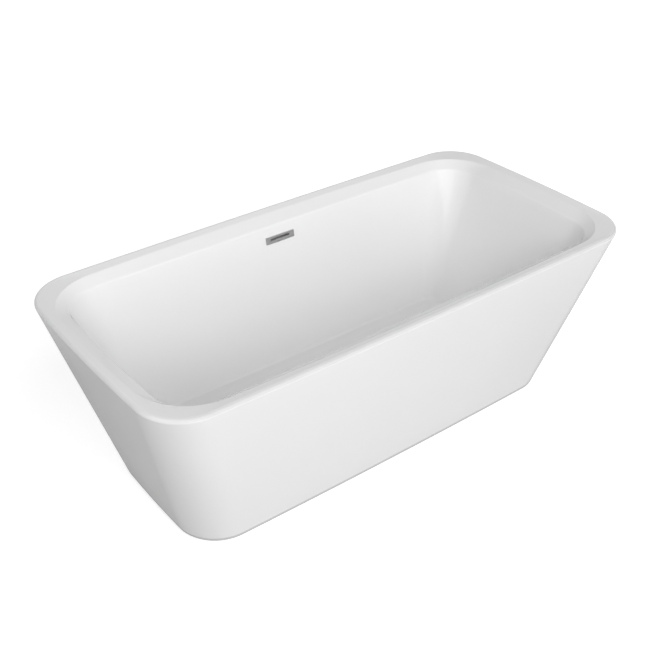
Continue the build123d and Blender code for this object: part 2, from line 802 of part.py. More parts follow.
def drain_body():
    """Waste body under the floor: thread for the throat, side socket for the overflow, outlet below."""
    radius = drain_body_diameter / 2
    bore = drain_body_diameter - 2 * drain_body_wall
    body = rod(drain_body_diameter, drain_body_foot, drain_body_top)
    flange_level = drain_body_top - drain_body_flange_height
    body += rod(drain_body_flange_diameter, flange_level, drain_body_top)
    body += rod(2 * tail_socket_radius, drain_body_foot - tail_socket_length, drain_body_foot)
    side = Cylinder(socket_radius, drain_socket_mouth_y, align=FROM_BELOW)
    body += Pos(0, 0, link_level) * Rot(-90, 0, 0) * side
    body -= rod(bore, drain_body_foot + drain_body_wall, drain_body_top - drain_thread_length)
    body -= rod(throat_diameter + 2 * nut_clearance, drain_body_top - drain_thread_length, drain_body_top)
    way = Cylinder(pipe_diameter / 2 - pipe_wall, drain_socket_mouth_y, align=FROM_BELOW)
    body -= Pos(0, 0, link_level) * Rot(-90, 0, 0) * way
    body -= drain_link_place * rod(pipe_diameter + 2 * socket_clearance, -pipe_set_in, 0)
    tail_foot = drain_body_foot - tail_socket_length
    body -= rod(tailpiece_bore, tail_foot, drain_body_foot + radius)
    return body - rod(tailpiece_neck_diameter + 2 * socket_clearance, tail_foot, tail_foot + tail_set_in)


def tailpiece():
    """Outlet pipe that the trap or floor connection slides over, with a neck for the union nut."""
    socket_foot = drain_body_foot - tail_socket_length
    shoulder = socket_foot - cone_washer_length - union_nut_lip - tailpiece_shoulder_gap
    outlet = rod(tailpiece_diameter, tailpiece_foot, shoulder)
    outlet += rod(tailpiece_neck_diameter, shoulder, socket_foot + tail_set_in)
    return outlet - rod(tailpiece_bore, tailpiece_foot, socket_foot + tail_set_in)


def stopper_sleeve():
    """Guide sleeve screwed into the spider."""
    sleeve = rod(sleeve_diameter, spider_top, sleeve_top)
    sleeve -= rod(stem_diameter + 2 * running_gap, spider_top + sleeve_floor, sleeve_top)
    return sleeve + rod(sleeve_screw_diameter, throat_foot, spider_top)


def stopper_stem():
    """Plunger that slides in the sleeve and carries the cap."""
    return rod(stem_diameter, spider_top + sleeve_floor + cap_lift, boss_foot)


def stopper_cap():
    """Domed metal cap over the waste, with a boss under it for the seal."""
    edge_top = cap_foot + cap_edge_height
    radius = cap_diameter / 2
    sphere_radius = (radius**2 + cap_dome**2) / (2 * cap_dome)
    half_angle = asin(radius / 2 / sphere_radius)
    shoulder_x = sphere_radius * sin(half_angle)
    shoulder_z = edge_top + cap_dome - sphere_radius * (1 - cos(half_angle))
    outline = [
        Line((0, 0, cap_foot), (radius, 0, cap_foot)),
        Line((radius, 0, cap_foot), (radius, 0, edge_top)),
        ThreePointArc((radius, 0, edge_top), (shoulder_x, 0, shoulder_z), (0, 0, edge_top + cap_dome)),
        Line((0, 0, edge_top + cap_dome), (0, 0, cap_foot)),
    ]
    cap = revolve(make_face(outline), Axis.Z)
    return cap + rod(boss_diameter, boss_foot, cap_foot)


def stopper_seal():
    """Rubber ring under the cap, just clear of the conical seat."""
    seat_slope = (seat_diameter - throat_bore) / flange_height
    seal_diameter = throat_bore + (seal_foot - flange_foot) * seat_slope - 2 * seal_gap
    ring = rod(seal_diameter, seal_foot, cap_foot)
    return ring - rod(boss_diameter + 2 * nut_clearance, seal_foot, cap_foot)


pieces = {
    "basin_shell": basin_shell(),
    "outer_skirt": outer_skirt(),
    "rim_bond_bead": rim_bond_bead(),
    "floor_board": floor_board(),
    "frame_rail_front": frame_rail(-1),
    "frame_rail_back": frame_rail(1),
    "frame_bolts": frame_bolts(),
    "frame_nuts": frame_nuts(),
    "board_screws": board_screws(),
    "rail_end_caps": rail_end_caps(),
    "cross_end_caps": cross_end_caps(),
    "foot_inserts": foot_inserts(),
    "foot_locknuts": foot_locknuts(),
    "clip_screws": clip_screws(),
    "overflow_cover": overflow_cover(),
    "overflow_gasket": overflow_gasket(),
    "overflow_body": overflow_body(),
    "overflow_nuts": overflow_nuts(),
    "overflow_pipe": overflow_pipe(),
    "overflow_elbow": overflow_elbow(),
    "drain_link_pipe": drain_link_pipe(),
    "cone_washers": cone_washers(),
    "drain_seal": drain_seal(),
    "drain_flange": drain_flange(),
    "drain_washer": drain_washer(),
    "drain_body": drain_body(),
    "tailpiece": tailpiece(),
    "stopper_sleeve": stopper_sleeve(),
    "stopper_stem": stopper_stem(),
    "stopper_cap": stopper_cap(),
    "stopper_seal": stopper_seal(),
}
pieces.update(pipe_nuts())
for number, cross_x in enumerate(cross_offsets, 1):
    pieces[f"cross_member_{number}"] = cross_member(cross_x)
for number, (foot_x, foot_y) in enumerate(foot_places, 1):
    pieces[f"foot_pad_{number}"] = foot_pad(foot_x, foot_y)
    pieces[f"foot_stud_{number}"] = foot_stud(foot_x, foot_y)
for side, name in ((-1, "front"), (1, "back")):
    for number, clip_x in enumerate(clip_offsets, 1):
        pieces[f"skirt_clip_{name}_{number}"] = skirt_clip(clip_x, side)

os.makedirs("parts", exist_ok=True)
for name, shape in pieces.items():
    export_step(shape, f"parts/{name}.step")
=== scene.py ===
import json
from collections import namedtuple
from math import atan2, hypot, pi, radians, sqrt, tan

import bmesh
import bpy
import numpy as np
from mathutils import Matrix, Vector


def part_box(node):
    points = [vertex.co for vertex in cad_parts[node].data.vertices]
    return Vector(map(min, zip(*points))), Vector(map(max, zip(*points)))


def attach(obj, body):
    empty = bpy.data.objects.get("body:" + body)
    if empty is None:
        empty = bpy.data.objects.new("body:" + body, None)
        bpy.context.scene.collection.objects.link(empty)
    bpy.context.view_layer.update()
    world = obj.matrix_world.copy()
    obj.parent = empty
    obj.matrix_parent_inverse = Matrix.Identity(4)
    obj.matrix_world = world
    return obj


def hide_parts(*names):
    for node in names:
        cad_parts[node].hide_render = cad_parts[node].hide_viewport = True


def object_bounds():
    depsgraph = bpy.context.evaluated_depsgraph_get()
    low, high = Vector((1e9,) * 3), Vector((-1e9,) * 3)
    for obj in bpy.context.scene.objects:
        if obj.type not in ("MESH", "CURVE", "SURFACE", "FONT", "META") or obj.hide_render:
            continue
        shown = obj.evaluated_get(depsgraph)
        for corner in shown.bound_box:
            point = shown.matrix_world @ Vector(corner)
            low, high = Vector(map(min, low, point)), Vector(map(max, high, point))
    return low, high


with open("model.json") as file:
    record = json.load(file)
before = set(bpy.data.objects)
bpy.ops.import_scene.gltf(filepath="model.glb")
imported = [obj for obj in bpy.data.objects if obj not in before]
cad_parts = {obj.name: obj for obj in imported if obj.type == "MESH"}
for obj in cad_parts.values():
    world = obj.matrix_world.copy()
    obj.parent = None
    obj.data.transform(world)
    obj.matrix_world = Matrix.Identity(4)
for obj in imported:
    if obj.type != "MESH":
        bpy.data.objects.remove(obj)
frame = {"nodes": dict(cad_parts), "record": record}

bl_info = {
    "name": "Freestanding bathtub",
    "version": (1, 0, 0),
    "blender": (4, 5, 0),
    "location": "3D view > Sidebar > Bathtub",
    "description": "Builds the shells, fittings and support frame of a double-walled bathtub, and a plain studio",
    "category": "Add Mesh",
}

MM = 0.001
HAIR = 0.00001
ACRYLIC, CHROME, ZINC = "white_acrylic", "chrome", "zinc_plated_steel"
NYLON, PIPE = "black_nylon", "white_pipe_plastic"
CAD_BOX = [list(corner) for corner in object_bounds()]
RIM_TOP = CAD_BOX[1][2]
HALF_LENGTH = CAD_BOX[1][0]
HALF_WIDTH = CAD_BOX[1][1]


# ---- settings

def number(label, text, value, **more):
    return bpy.props.FloatProperty(name=label, description=text, default=value, **more)


def metres(label, text, value):
    return number(label, text, value, min=0.0, unit="LENGTH")


def ratio(label, text, value):
    return number(label, text, value, min=0.0, max=1.0)


def rgb(label, text, value):
    return bpy.props.FloatVectorProperty(
        name=label, description=text, default=value, size=3, min=0.0, max=1.0, subtype="COLOR"
    )


class TubShellSettings(bpy.types.PropertyGroup):
    """Outlines and edges of the two acrylic shells."""

    rim_edge: metres("Rim edge", "Rounding between the rim and the outer wall", 0.009)
    rim_crest: metres("Rim crest", "Level strip inside that rounding", 0.002)
    rim_depth: metres("Rim depth", "Height of the rim's outer face above the seam", 0.016)
    foot_length: metres("Foot length", "Length of the outer wall at the room floor", 1.3926)
    foot_width: metres("Foot width", "Width of the outer wall at the room floor", 0.5544)
    foot_gap: metres("Foot gap", "Gap between the outer wall and the room floor", 0.003)
    foot_edge: metres("Foot edge", "Rounding of the outer wall's lower edge", 0.005)
    foot_return: metres("Foot return", "Width of the lip turned inwards at the foot", 0.032)
    wall: metres("Wall", "Thickness of both shells", 0.005)
    lip_inset: metres("Lip inset", "From the rim's outer edge to its inner edge", 0.0316)
    lip_fall: metres("Lip fall", "How far the rim falls towards the inside", 0.0064)
    lip_edge: metres("Lip edge", "Rounding of the rim's inner edge", 0.003)
    band_inset: metres("Band width", "Width of the sloping band in plan", 0.0431)
    band_fall: metres("Band fall", "Height of the sloping band", 0.0242)
    band_edge: metres("Band edge", "Rounding between the band and the basin wall", 0.010)
    floor_length: metres("Basin floor length", "Length of the basin floor", 1.2)
    floor_width: metres("Basin floor width", "Width of the basin floor", 0.476)
    floor_edge: metres("Floor edge", "Rounding between the basin's wall and floor", 0.016)
    basin_depth: metres("Basin depth", "From the rim's top to the basin floor", 0.478)
    drain_hole: metres("Waste hole", "Diameter of the hole in the basin floor", 0.052)


RING_PARTS = {
    "end_bow": "How far the short sides bulge", "side_bow": "How far the long sides bulge",
    "corner": "Corner radius in plan",
}
RING_SHAPES = {
    "rim": (0.0123, 0.006, 0.139), "foot": (0.0086, 0.0074, 0.1335), "lip": (0.021, 0.0176, 0.176),
    "band": (0.0117, 0.003, 0.117), "floor": (0.004, 0.003, 0.034),
}
for ring_name, shape in RING_SHAPES.items():
    for (part_name, part_text), part_size in zip(RING_PARTS.items(), shape):
        part_label = f"{ring_name} {part_name}".replace("_", " ").capitalize()
        TubShellSettings.__annotations__[f"{ring_name}_{part_name}"] = metres(part_label, part_text, part_size)


class TubOverflowSettings(bpy.types.PropertyGroup):
    """Sizes of the overflow cover."""

    length: metres("Length", "Length of the cover", 0.109)
    height: metres("Height", "Height of the cover", 0.024)
    thickness: metres("Thickness", "How far the cover stands off the wall", 0.004)
    face: metres("Face", "Thickness of the cover's face", 0.0016)
    rim: metres("Rim", "Thickness of the cover's turned edge", 0.0025)
    seat: metres("Seat", "Gap between the cover and the wall", 0.00005)
    slot_length: metres("Slot length", "Length of the slot", 0.074)
    slot_height: metres("Slot height", "Height of the slot", 0.0065)
    slot_rise: metres("Slot rise", "How far the slot sits above the middle", 0.001)
    slot_lead: metres("Slot lead", "Bevel round the slot's edge", 0.0005)
    wall_slot_length: metres("Wall slot length", "Length of the slot through the basin wall", 0.081)
    wall_slot_height: metres("Wall slot height", "Height of the slot through the basin wall", 0.0135)
    post: metres("Post", "Diameter of the two threaded posts", 0.005)
    post_inset: metres("Post inset", "From the cover's end to a post", 0.00428)
    post_reach: metres("Post reach", "How far the posts reach behind the wall", 0.0174)


class TubFinishSettings(bpy.types.PropertyGroup):
    """Colours of the finishes."""

    acrylic: rgb("Acrylic", "Gloss white of the shells", (0.86, 0.86, 0.86))
    # painted shade on the rim's outer rounding, which tones down the highlight there
    rim_edge_painted_shade: ratio("Rim edge painted shade", "How much duller the rim's rounding is", 0.21)
    # painted shadow line along the outer wall's lowest edge
    foot_painted_shade: ratio("Foot painted shade", "How much duller the outer wall's lowest edge is", 0.3)
    chrome: rgb("Chrome", "Polished fittings", (0.68, 0.68, 0.69))
    zinc: rgb("Zinc plate", "Bright plated fasteners", (0.62, 0.62, 0.60))
    galvanised: rgb("Galvanised steel", "Spangled zinc of the frame", (0.50, 0.52, 0.53))
    nylon: rgb("Black nylon", "Pads and end caps", (0.022, 0.022, 0.024))
    rubber: rgb("Rubber", "Seals and washers", (0.018, 0.018, 0.018))
    pipe: rgb("Pipe plastic", "Waste and overflow pipes", (0.72, 0.72, 0.70))
    brass: rgb("Brass", "Stopper parts", (0.60, 0.43, 0.18))
    board: rgb("Board", "Board under the basin floor", (0.46, 0.32, 0.18))
    adhesive: rgb("Adhesive", "Bead between the shells", (0.66, 0.65, 0.60))


class TubStudioSettings(bpy.types.PropertyGroup):
    """Camera and lamps."""

    lens: number("Lens", "Focal length on a 36 mm sensor", 56.49, min=1.0, unit="CAMERA")
    turn: number("Turn", "Direction of view, from +Y towards +X", radians(37.352), subtype="ANGLE")
    dip: number("Dip", "How far the camera looks down", radians(33.226), subtype="ANGLE")
    place: bpy.props.FloatVectorProperty(
        name="Place", description="Where the camera stands", default=(-1.6472, -2.0724, 2.0783), unit="LENGTH"
    )
    sky: number("Room light", "Strength of the even light of the room", 0.224, min=0.0)


# ---- node trees

class Tree:
    """Short calls for building one node tree."""

    def __init__(self, tree):
        self.tree = tree

    def add(self, kind, inputs=None, **settings):
        node = self.tree.nodes.new(kind)
        for key, value in settings.items():
            setattr(node, key, value)
        for key, value in (inputs or {}).items():
            socket = node.inputs[key]
            if isinstance(value, bpy.types.NodeSocket):
                self.tree.links.new(value, socket)
            else:
                socket.default_value = value
        return node

    def math(self, operation, first, second=0.0):
        return self.add("ShaderNodeMath", {0: first, 1: second}, operation=operation).outputs[0]

    def spread(self, value, low, high, least=0.0, most=1.0):
        """A value brought from one range into another."""
        return self.add("ShaderNodeMapRange", {
            "Value": value, "From Min": least, "From Max": most, "To Min": low, "To Max": high,
        }).outputs[0]

    def join(self, output, socket):
        self.tree.links.new(output, socket)


def geometry_tree(name, sockets):
    """A new Geometry Nodes tree with named inputs and a finish, and its sockets."""
    group = bpy.data.node_groups.new(name, "GeometryNodeTree")
    group.interface.new_socket("Geometry", in_out="INPUT", socket_type="NodeSocketGeometry")
    for label, kind, default in (*sockets, ("Finish", "Material", None)):
        socket = group.interface.new_socket(label, in_out="INPUT", socket_type="NodeSocket" + kind)
        if default is not None:
            socket.default_value = default
    group.interface.new_socket("Geometry", in_out="OUTPUT", socket_type="NodeSocketGeometry")
    tree = Tree(group)
    return tree, tree.add("NodeGroupInput").outputs, tree.add("NodeGroupOutput").inputs[0]


def finish_tree(tree, geometry, material, output):
    """Every tree ends in real geometry with its material."""
    real = tree.add("GeometryNodeRealizeInstances", {0: geometry})
    last = tree.add("GeometryNodeSetMaterial", {"Geometry": real.outputs[0], "Material": material})
    tree.join(last.outputs[0], output)


def tube_grid(tree, columns, down):
    """A grid to roll into a tube, with each point's column and row; its last column meets the first."""
    grid = tree.add("GeometryNodeMeshGrid", {
        "Size X": 1.0, "Size Y": 1.0, "Vertices X": tree.math("ADD", columns, 1.0), "Vertices Y": down,
    })
    index = tree.add("GeometryNodeInputIndex").outputs[0]
    column = tree.math("FLOORED_MODULO", tree.math("FLOOR", tree.math("DIVIDE", index, down)), columns)
    return grid.outputs[0], column, tree.math("FLOORED_MODULO", index, down)


def rolled(tree, grid, position, gap):
    """The grid's points put in place and its seams and poles closed."""
    placed = tree.add("GeometryNodeSetPosition", {"Geometry": grid, "Position": position})
    return tree.add("GeometryNodeMergeByDistance", {"Geometry": placed.outputs[0], "Distance": gap}).outputs[0]


def grow(name, group, values, base=None):
    """Run a Geometry Nodes tree on a base mesh and keep the result as a mesh object."""
    maker = link(name + "_maker", base or bpy.data.meshes.new(name))
    modifier = maker.modifiers.new("Tree", "NODES")
    modifier.node_group = group
    for item in group.interface.items_tree:
        if item.item_type == "SOCKET" and item.in_out == "INPUT" and item.name in values:
            modifier[item.identifier] = values[item.name]
    graph = bpy.context.evaluated_depsgraph_get()
    result = bpy.data.meshes.new_from_object(maker.evaluated_get(graph))
    bpy.data.objects.remove(maker)
    result.name = name
    result.materials.clear()
    result.materials.append(values["Finish"])
    result.polygons.foreach_set("material_index", [0] * len(result.polygons))
    return link(name, result)


def link(name, data):
    """A new object of the scene with its mesh, lamp or camera."""
    piece = bpy.data.objects.new(name, data)
    bpy.context.scene.collection.objects.link(piece)
    return piece


# ---- outlines of the shells

Ring = namedtuple("Ring", "half_length half_width end_bow side_bow corner z")


def grown(ring, by, drop=0.0):
    """The same ring, larger all round by one amount and lower by another."""
    return Ring(
        ring.half_length + by, ring.half_width + by, ring.end_bow, ring.side_bow, ring.corner + by, ring.z - drop
    )


def arc(centre, radius, start, end, steps):
    """Points along an arc, without its last one."""
    turns = np.linspace(start, end, steps, endpoint=False)
    return np.column_stack([centre[0] + radius * np.cos(turns), centre[1] + radius * np.sin(turns)])


SIDE_STEPS, END_STEPS, CORNER_STEPS = 72, 30, 26


def outline(ring):
    """Points clockwise round a ring: four long bowed arcs with a round corner between each two."""
    side_radius = (ring.half_length**2 + ring.side_bow**2) / (2 * ring.side_bow)
    end_radius = (ring.half_width**2 + ring.end_bow**2) / (2 * ring.end_bow)
    side_y = ring.half_width - side_radius
    end_x = ring.half_length - end_radius
    span = hypot(end_x, side_y)
    along = ((side_radius - ring.corner) ** 2 - (end_radius - ring.corner) ** 2 + span**2) / (2 * span)
    across = sqrt((side_radius - ring.corner) ** 2 - along**2)
    ux = end_x / span
    uy = -side_y / span
    cx = ux * along + uy * across
    cy = side_y + uy * along - ux * across
    end_turn = atan2(cy, cx - end_x)
    side_turn = atan2(cy - side_y, cx)
    corner = ring.corner
    half = np.vstack([
        arc((end_x, 0), end_radius, -end_turn, end_turn, END_STEPS),
        arc((cx, cy), corner, end_turn, side_turn, CORNER_STEPS),
        arc((0, side_y), side_radius, side_turn, pi - side_turn, SIDE_STEPS),
        arc((-cx, cy), corner, pi - side_turn, pi - end_turn, CORNER_STEPS),
    ])
    level = np.full((2 * len(half), 1), ring.z)
    return np.hstack([np.vstack([half, -half]), level])[::-1]


def between(lower, upper, z):
    """The outline at a level on the straight wall between two others."""
    share = (z - lower[0, 2]) / (upper[0, 2] - lower[0, 2])
    return lower + (upper - lower) * share


def unit(rows):
    return rows / np.linalg.norm(rows, axis=1, keepdims=True)


HOLD = 0.0003  # from an arc's end to the station that keeps its shading apart
CREASE = radians(35)
SHELL_STEP = 0.045
CREST_EDGE = 0.0015  # rounding between the rim's level strip and its fall


def rounded(before, corner, after, radius, steps):
    """Stations round a corner of the section, with one more just outside each end of the arc."""
    back = unit(before - corner)
    on = unit(after - corner)
    half = np.arccos(np.clip(np.sum(back * on, axis=1, keepdims=True), -1, 1)) / 2
    reach = radius / np.tan(half)
    centre = corner + unit(back + on) * radius / np.sin(half)
    first = corner + back * reach - centre
    last = corner + on * reach - centre
    sweep = pi - 2 * half
    stations = [corner + back * (reach + HOLD)]
    for step in range(steps + 1):
        share = step / steps
        stations.append(centre + (first * np.sin((1 - share) * sweep) + last * np.sin(share * sweep)) / np.sin(sweep))
    stations.append(corner + on * (reach + HOLD))
    return stations


def section(corners, longest):
    """Closed list of stations from the section's corners: a ring, or a ring with its rounding and steps."""
    corners = [corner if isinstance(corner, tuple) else (corner, 0.0, 0) for corner in corners]
    stations = []
    for place, (points, radius, steps) in enumerate(corners):
        after = corners[(place + 1) % len(corners)][0]
        stations += rounded(corners[place - 1][0], points, after, radius, steps) if radius else [points]
    spread = []
    for place, points in enumerate(stations):
        step = stations[(place + 1) % len(stations)] - points
        parts = max(1, int(np.ceil(np.linalg.norm(step, axis=1).max() / longest)))
        spread += [points + step * part / parts for part in range(parts)]
    return spread


def shell_rings(sizes):
    """All rings of the two shells by name."""
    def ring(name, half_length, half_width, z):
        return Ring(half_length, half_width, *(getattr(sizes, f"{name}_{part}") for part in RING_PARTS), z)

    edge = sizes.rim_edge
    end_setback = edge * tan(pi / 4 + atan2(HALF_LENGTH - sizes.foot_length / 2, RIM_TOP) / 2)
    side_setback = edge * tan(pi / 4 + atan2(HALF_WIDTH - sizes.foot_width / 2, RIM_TOP) / 2)
    rim = ring("rim", HALF_LENGTH + end_setback - edge, HALF_WIDTH + side_setback - edge, RIM_TOP)
    lip_level = RIM_TOP - sizes.lip_fall
    lip = ring("lip", HALF_LENGTH - sizes.lip_inset, HALF_WIDTH - sizes.lip_inset, lip_level)
    inset = sizes.band_inset
    return {
        "rim": rim, "crest": grown(rim, -end_setback - sizes.rim_crest), "lip": lip,
        "foot": ring("foot", sizes.foot_length / 2, sizes.foot_width / 2, 0.0),
        "band": ring("band", lip.half_length - inset, lip.half_width - inset, lip_level - sizes.band_fall),
        "floor": ring("floor", sizes.floor_length / 2, sizes.floor_width / 2, RIM_TOP - sizes.basin_depth),
    }


def polar(radius, turns, z):
    """A ring of points from their distances, angles and level."""
    return np.column_stack([radius * np.cos(turns), radius * np.sin(turns), np.zeros(len(turns)) + z])


def clockwise(columns):
    return np.linspace(2 * pi, 0, columns, endpoint=False)


def hole_ring(floor_points, diameter, z):
    """Circle with one point beside each point of the floor outline."""
    return polar(diameter / 2, np.arctan2(floor_points[:, 1], floor_points[:, 0]), z)


def loft_tree():
    """Geometry Nodes: a closed skin through stations of points, straight from each to the next."""
    tree, values, output = geometry_tree("Shell through stations", [
        ("Columns", "Int", 3), ("Stations", "Int", 3), ("Crease angle", "Float", CREASE),
    ])
    columns, stations = values["Columns"], values["Stations"]
    grid, column, row = tube_grid(tree, columns, tree.math("ADD", stations, 1.0))
    station = tree.math("FLOORED_MODULO", row, stations)
    sample = tree.add("GeometryNodeSampleIndex", {
        "Geometry": values["Geometry"], "Value": tree.add("GeometryNodeInputPosition").outputs[0],
        "Index": tree.math("ADD", tree.math("MULTIPLY", station, columns), column),
    }, data_type="FLOAT_VECTOR")
    skin = rolled(tree, grid, sample.outputs[0], HAIR)
    smooth = tree.add("GeometryNodeSetShadeSmooth", {"Geometry": skin}, domain="FACE")
    angle = tree.add("GeometryNodeInputMeshEdgeAngle").outputs[0]
    sharp = tree.math("GREATER_THAN", angle, values["Crease angle"])
    creased = tree.add(
        "GeometryNodeSetShadeSmooth",
        {"Geometry": smooth.outputs[0], "Selection": sharp, "Shade Smooth": False}, domain="EDGE",
    )
    finish_tree(tree, creased.outputs[0], values["Finish"], output)
    return tree.tree


def face_outwards(mesh):
    """Turn a closed mesh's faces outwards."""
    work = bmesh.new()
    work.from_mesh(mesh)
    if work.calc_volume(signed=True) < 0:
        bmesh.ops.reverse_faces(work, faces=work.faces)
    work.to_mesh(mesh)
    work.free()


def loft(name, slot, corners, longest=1.0):
    """A closed shell from the corners of its section, with no face longer than a given length across it."""
    stations = section(corners, longest)
    points = bpy.data.meshes.new(name + "_stations")
    points.from_pydata(np.vstack(stations).tolist(), [], [])
    group = bpy.data.node_groups.get("Shell through stations") or loft_tree()
    values = {"Columns": len(stations[0]), "Stations": len(stations), "Finish": finishes()[slot]}
    shell = grow(name, group, values, points)
    face_outwards(shell.data)
    return shell


# ---- turned, hexagonal and repeated parts

def circle(radius, z, columns=36):
    return polar(radius, clockwise(columns), z)


def turned(name, slot, profile, columns=36):
    """A part turned on a lathe from its half section: radius, height and any edge rounding in millimetres."""
    return loft(name, slot, [
        (circle(r * MM, z * MM, columns), sum(edge) * MM, 4) for r, z, *edge in profile
    ])


def hexagon(across, z, slope=0.0, columns=36):
    """A hexagon across its flats, with its corners drawn down or up where a chamfer meets the flats."""
    turns = clockwise(columns)
    from_flat = (turns + pi / 6) % (pi / 3) - pi / 6
    radius = across / 2 / np.cos(from_flat)
    return polar(radius, turns, z + slope * (radius - across / 2) * tan(pi / 6))


HEX_CHAMFER, HEX_FACE = 0.0004, 0.96


def hex_corners(across, foot, top, below, above):
    """Section corners of a chamfered hexagon between two heights, with rings below and above it."""
    chamfer = across / 2 * HEX_FACE
    return [
        *below, circle(chamfer, foot), hexagon(across, foot + HEX_CHAMFER, 1.0),
        hexagon(across, top - HEX_CHAMFER, -1.0), circle(chamfer, top), *above,
    ]


def hex_nut(across, bore, low, high):
    """A zinc plated nut between two heights."""
    return loft("nut", ZINC, hex_corners(across, low, high, [circle(bore, low)], [circle(bore, high)]))


def joined(name, *parts):
    """One mesh from several, in one piece."""
    work = bmesh.new()
    for part in parts:
        work.from_mesh(part.data)
    mesh = bpy.data.meshes.new(name)
    work.to_mesh(mesh)
    work.free()
    mesh.materials.append(parts[0].data.materials[0])
    for part in parts:
        bpy.data.objects.remove(part)
    return link(name, mesh)


def repeat_tree():
    """Geometry Nodes: one part at every point, turned as the point says."""
    tree, values, output = geometry_tree("Part at places", [("Part", "Object", None)])
    info = tree.add("GeometryNodeObjectInfo", {"Object": values["Part"]})
    turn = tree.add("GeometryNodeInputNamedAttribute", {"Name": "turn"}, data_type="FLOAT_VECTOR").outputs[0]
    rotation = tree.add("FunctionNodeEulerToRotation", {0: turn}).outputs[0]
    placed = tree.add("GeometryNodeInstanceOnPoints", {
        "Points": values["Geometry"], "Instance": info.outputs["Geometry"], "Rotation": rotation,
    })
    finish_tree(tree, placed.outputs[0], values["Finish"], output)
    return tree.tree


def repeated(name, node, part, places, axes=None):
    """A zinc plated part at many places in one mesh: each place is a point and up to three angles."""
    points = bpy.data.meshes.new(name + "_places")
    points.from_pydata([place[:3] for place in places], [], [])
    turns = points.attributes.new("turn", "FLOAT_VECTOR", "POINT")
    turns.data.foreach_set("vector", [angle for place in places for angle in (*place[3:], 0.0, 0.0, 0.0)[:3]])
    group = bpy.data.node_groups.get("Part at places") or repeat_tree()
    result = grow(name, group, {"Part": part, "Finish": finishes()[ZINC]}, points)
    bpy.data.objects.remove(part)
    if axes is not None:
        result.data.transform(axes)
    dress(result, ZINC, "tub", node)


def thread_tree():
    """Geometry Nodes: a threaded rod that stands on its own axis."""
    tree, values, output = geometry_tree("Threaded rod", [
        ("Radius", "Float", 0.006), ("Length", "Float", 0.036), ("Pitch", "Float", 0.00175),
        ("Depth", "Float", 0.001), ("Columns", "Int", 24), ("Rows", "Int", 120),
    ])
    columns = values["Columns"]
    grid, column, step = tube_grid(tree, columns, tree.math("ADD", values["Rows"], 3.0))
    row = tree.math("SUBTRACT", step, 1.0)
    share = tree.add("ShaderNodeClamp", {0: tree.math("DIVIDE", row, values["Rows"])}).outputs[0]
    height = tree.math("MULTIPLY", share, values["Length"])
    turn = tree.math("DIVIDE", column, columns)
    phase = tree.math("SUBTRACT", tree.math("DIVIDE", height, values["Pitch"]), turn)
    wave = tree.math("PINGPONG", phase, 0.5)
    cut = tree.math("MULTIPLY", tree.math("MULTIPLY", wave, 2.0), values["Depth"])
    from_end = tree.math("DIVIDE", tree.math("SUBTRACT", values["Length"], height), values["Pitch"])
    lead = tree.math("SUBTRACT", 1.0, tree.add("ShaderNodeClamp", {0: from_end}).outputs[0])
    deep = tree.math("MAXIMUM", cut, tree.math("MULTIPLY", lead, values["Depth"]))
    outer = tree.math("SUBTRACT", values["Radius"], deep)
    inside = tree.math("MULTIPLY", tree.math("GREATER_THAN", row, -0.5), tree.math(
        "LESS_THAN", row, tree.math("ADD", values["Rows"], 0.5)))
    radius = tree.math("MULTIPLY", outer, inside)
    angle = tree.math("MULTIPLY", turn, 2 * pi)
    place = tree.add("ShaderNodeCombineXYZ", {
        0: tree.math("MULTIPLY", radius, tree.math("COSINE", angle)),
        1: tree.math("MULTIPLY", radius, tree.math("SINE", angle)), 2: height,
    })
    finish_tree(tree, rolled(tree, grid, place.outputs[0], HAIR / 10), values["Finish"], output)
    return tree.tree


THREAD_COLUMNS, ROWS_PER_TURN = 20, 6
# outer radius, pitch and depth of a thread; pitch and depth alone for the posts
M12, M8 = (0.006, 0.00175, 0.00095), (0.004, 0.00125, 0.0007)
POST_THREAD = (0.0008, 0.0004)


def threaded(name, slot, thread, foot, top):
    """A threaded rod between two heights."""
    radius, pitch, depth = thread
    group = bpy.data.node_groups.get("Threaded rod") or thread_tree()
    length = top - foot
    rod = grow(name, group, {
        "Radius": radius, "Length": length, "Pitch": pitch, "Depth": depth, "Columns": THREAD_COLUMNS,
        "Rows": int(length / pitch * ROWS_PER_TURN), "Finish": finishes()[slot],
    })
    face_outwards(rod.data)
    rod.data.transform(Matrix.Translation((0, 0, foot)))
    return rod


# ---- finishes

def new_material(name, base, roughness, metallic=0.0, **more):
    """A Principled material, with its node tree ready for more."""
    material = bpy.data.materials.new(name + "_finish")
    material.use_nodes = True
    tree = Tree(material.node_tree)
    shader = material.node_tree.nodes["Principled BSDF"]
    shader.inputs["Base Color"].default_value = (*base, 1.0)
    shader.inputs["Roughness"].default_value = roughness
    shader.inputs["Metallic"].default_value = metallic
    for key, value in more.items():
        shader.inputs[key.replace("_", " ")].default_value = value
    return material, tree, shader


def own_place(tree, stretch=(1.0, 1.0, 1.0)):
    """Where a point of the piece lies, stretched along the axes."""
    where = tree.add("ShaderNodeTexCoord").outputs["Object"]
    return tree.add("ShaderNodeMapping", {"Vector": where, "Scale": stretch}).outputs[0]


def noise(tree, scale, detail=4.0, roughness=0.6, stretch=(1.0, 1.0, 1.0)):
    """Noise that stays with the piece."""
    return tree.add("ShaderNodeTexNoise", {
        "Vector": own_place(tree, stretch), "Scale": scale, "Detail": detail, "Roughness": roughness,
    }).outputs[0]


def flakes(tree, scale, distance="EUCLIDEAN", stretch=(1.0, 1.0, 1.0)):
    """A mosaic with one chance value for each of its cells."""
    mosaic = tree.add("ShaderNodeTexVoronoi", {"Vector": own_place(tree, stretch), "Scale": scale}, distance=distance)
    return tree.add("ShaderNodeSeparateColor", {0: mosaic.outputs["Color"]}).outputs[0]


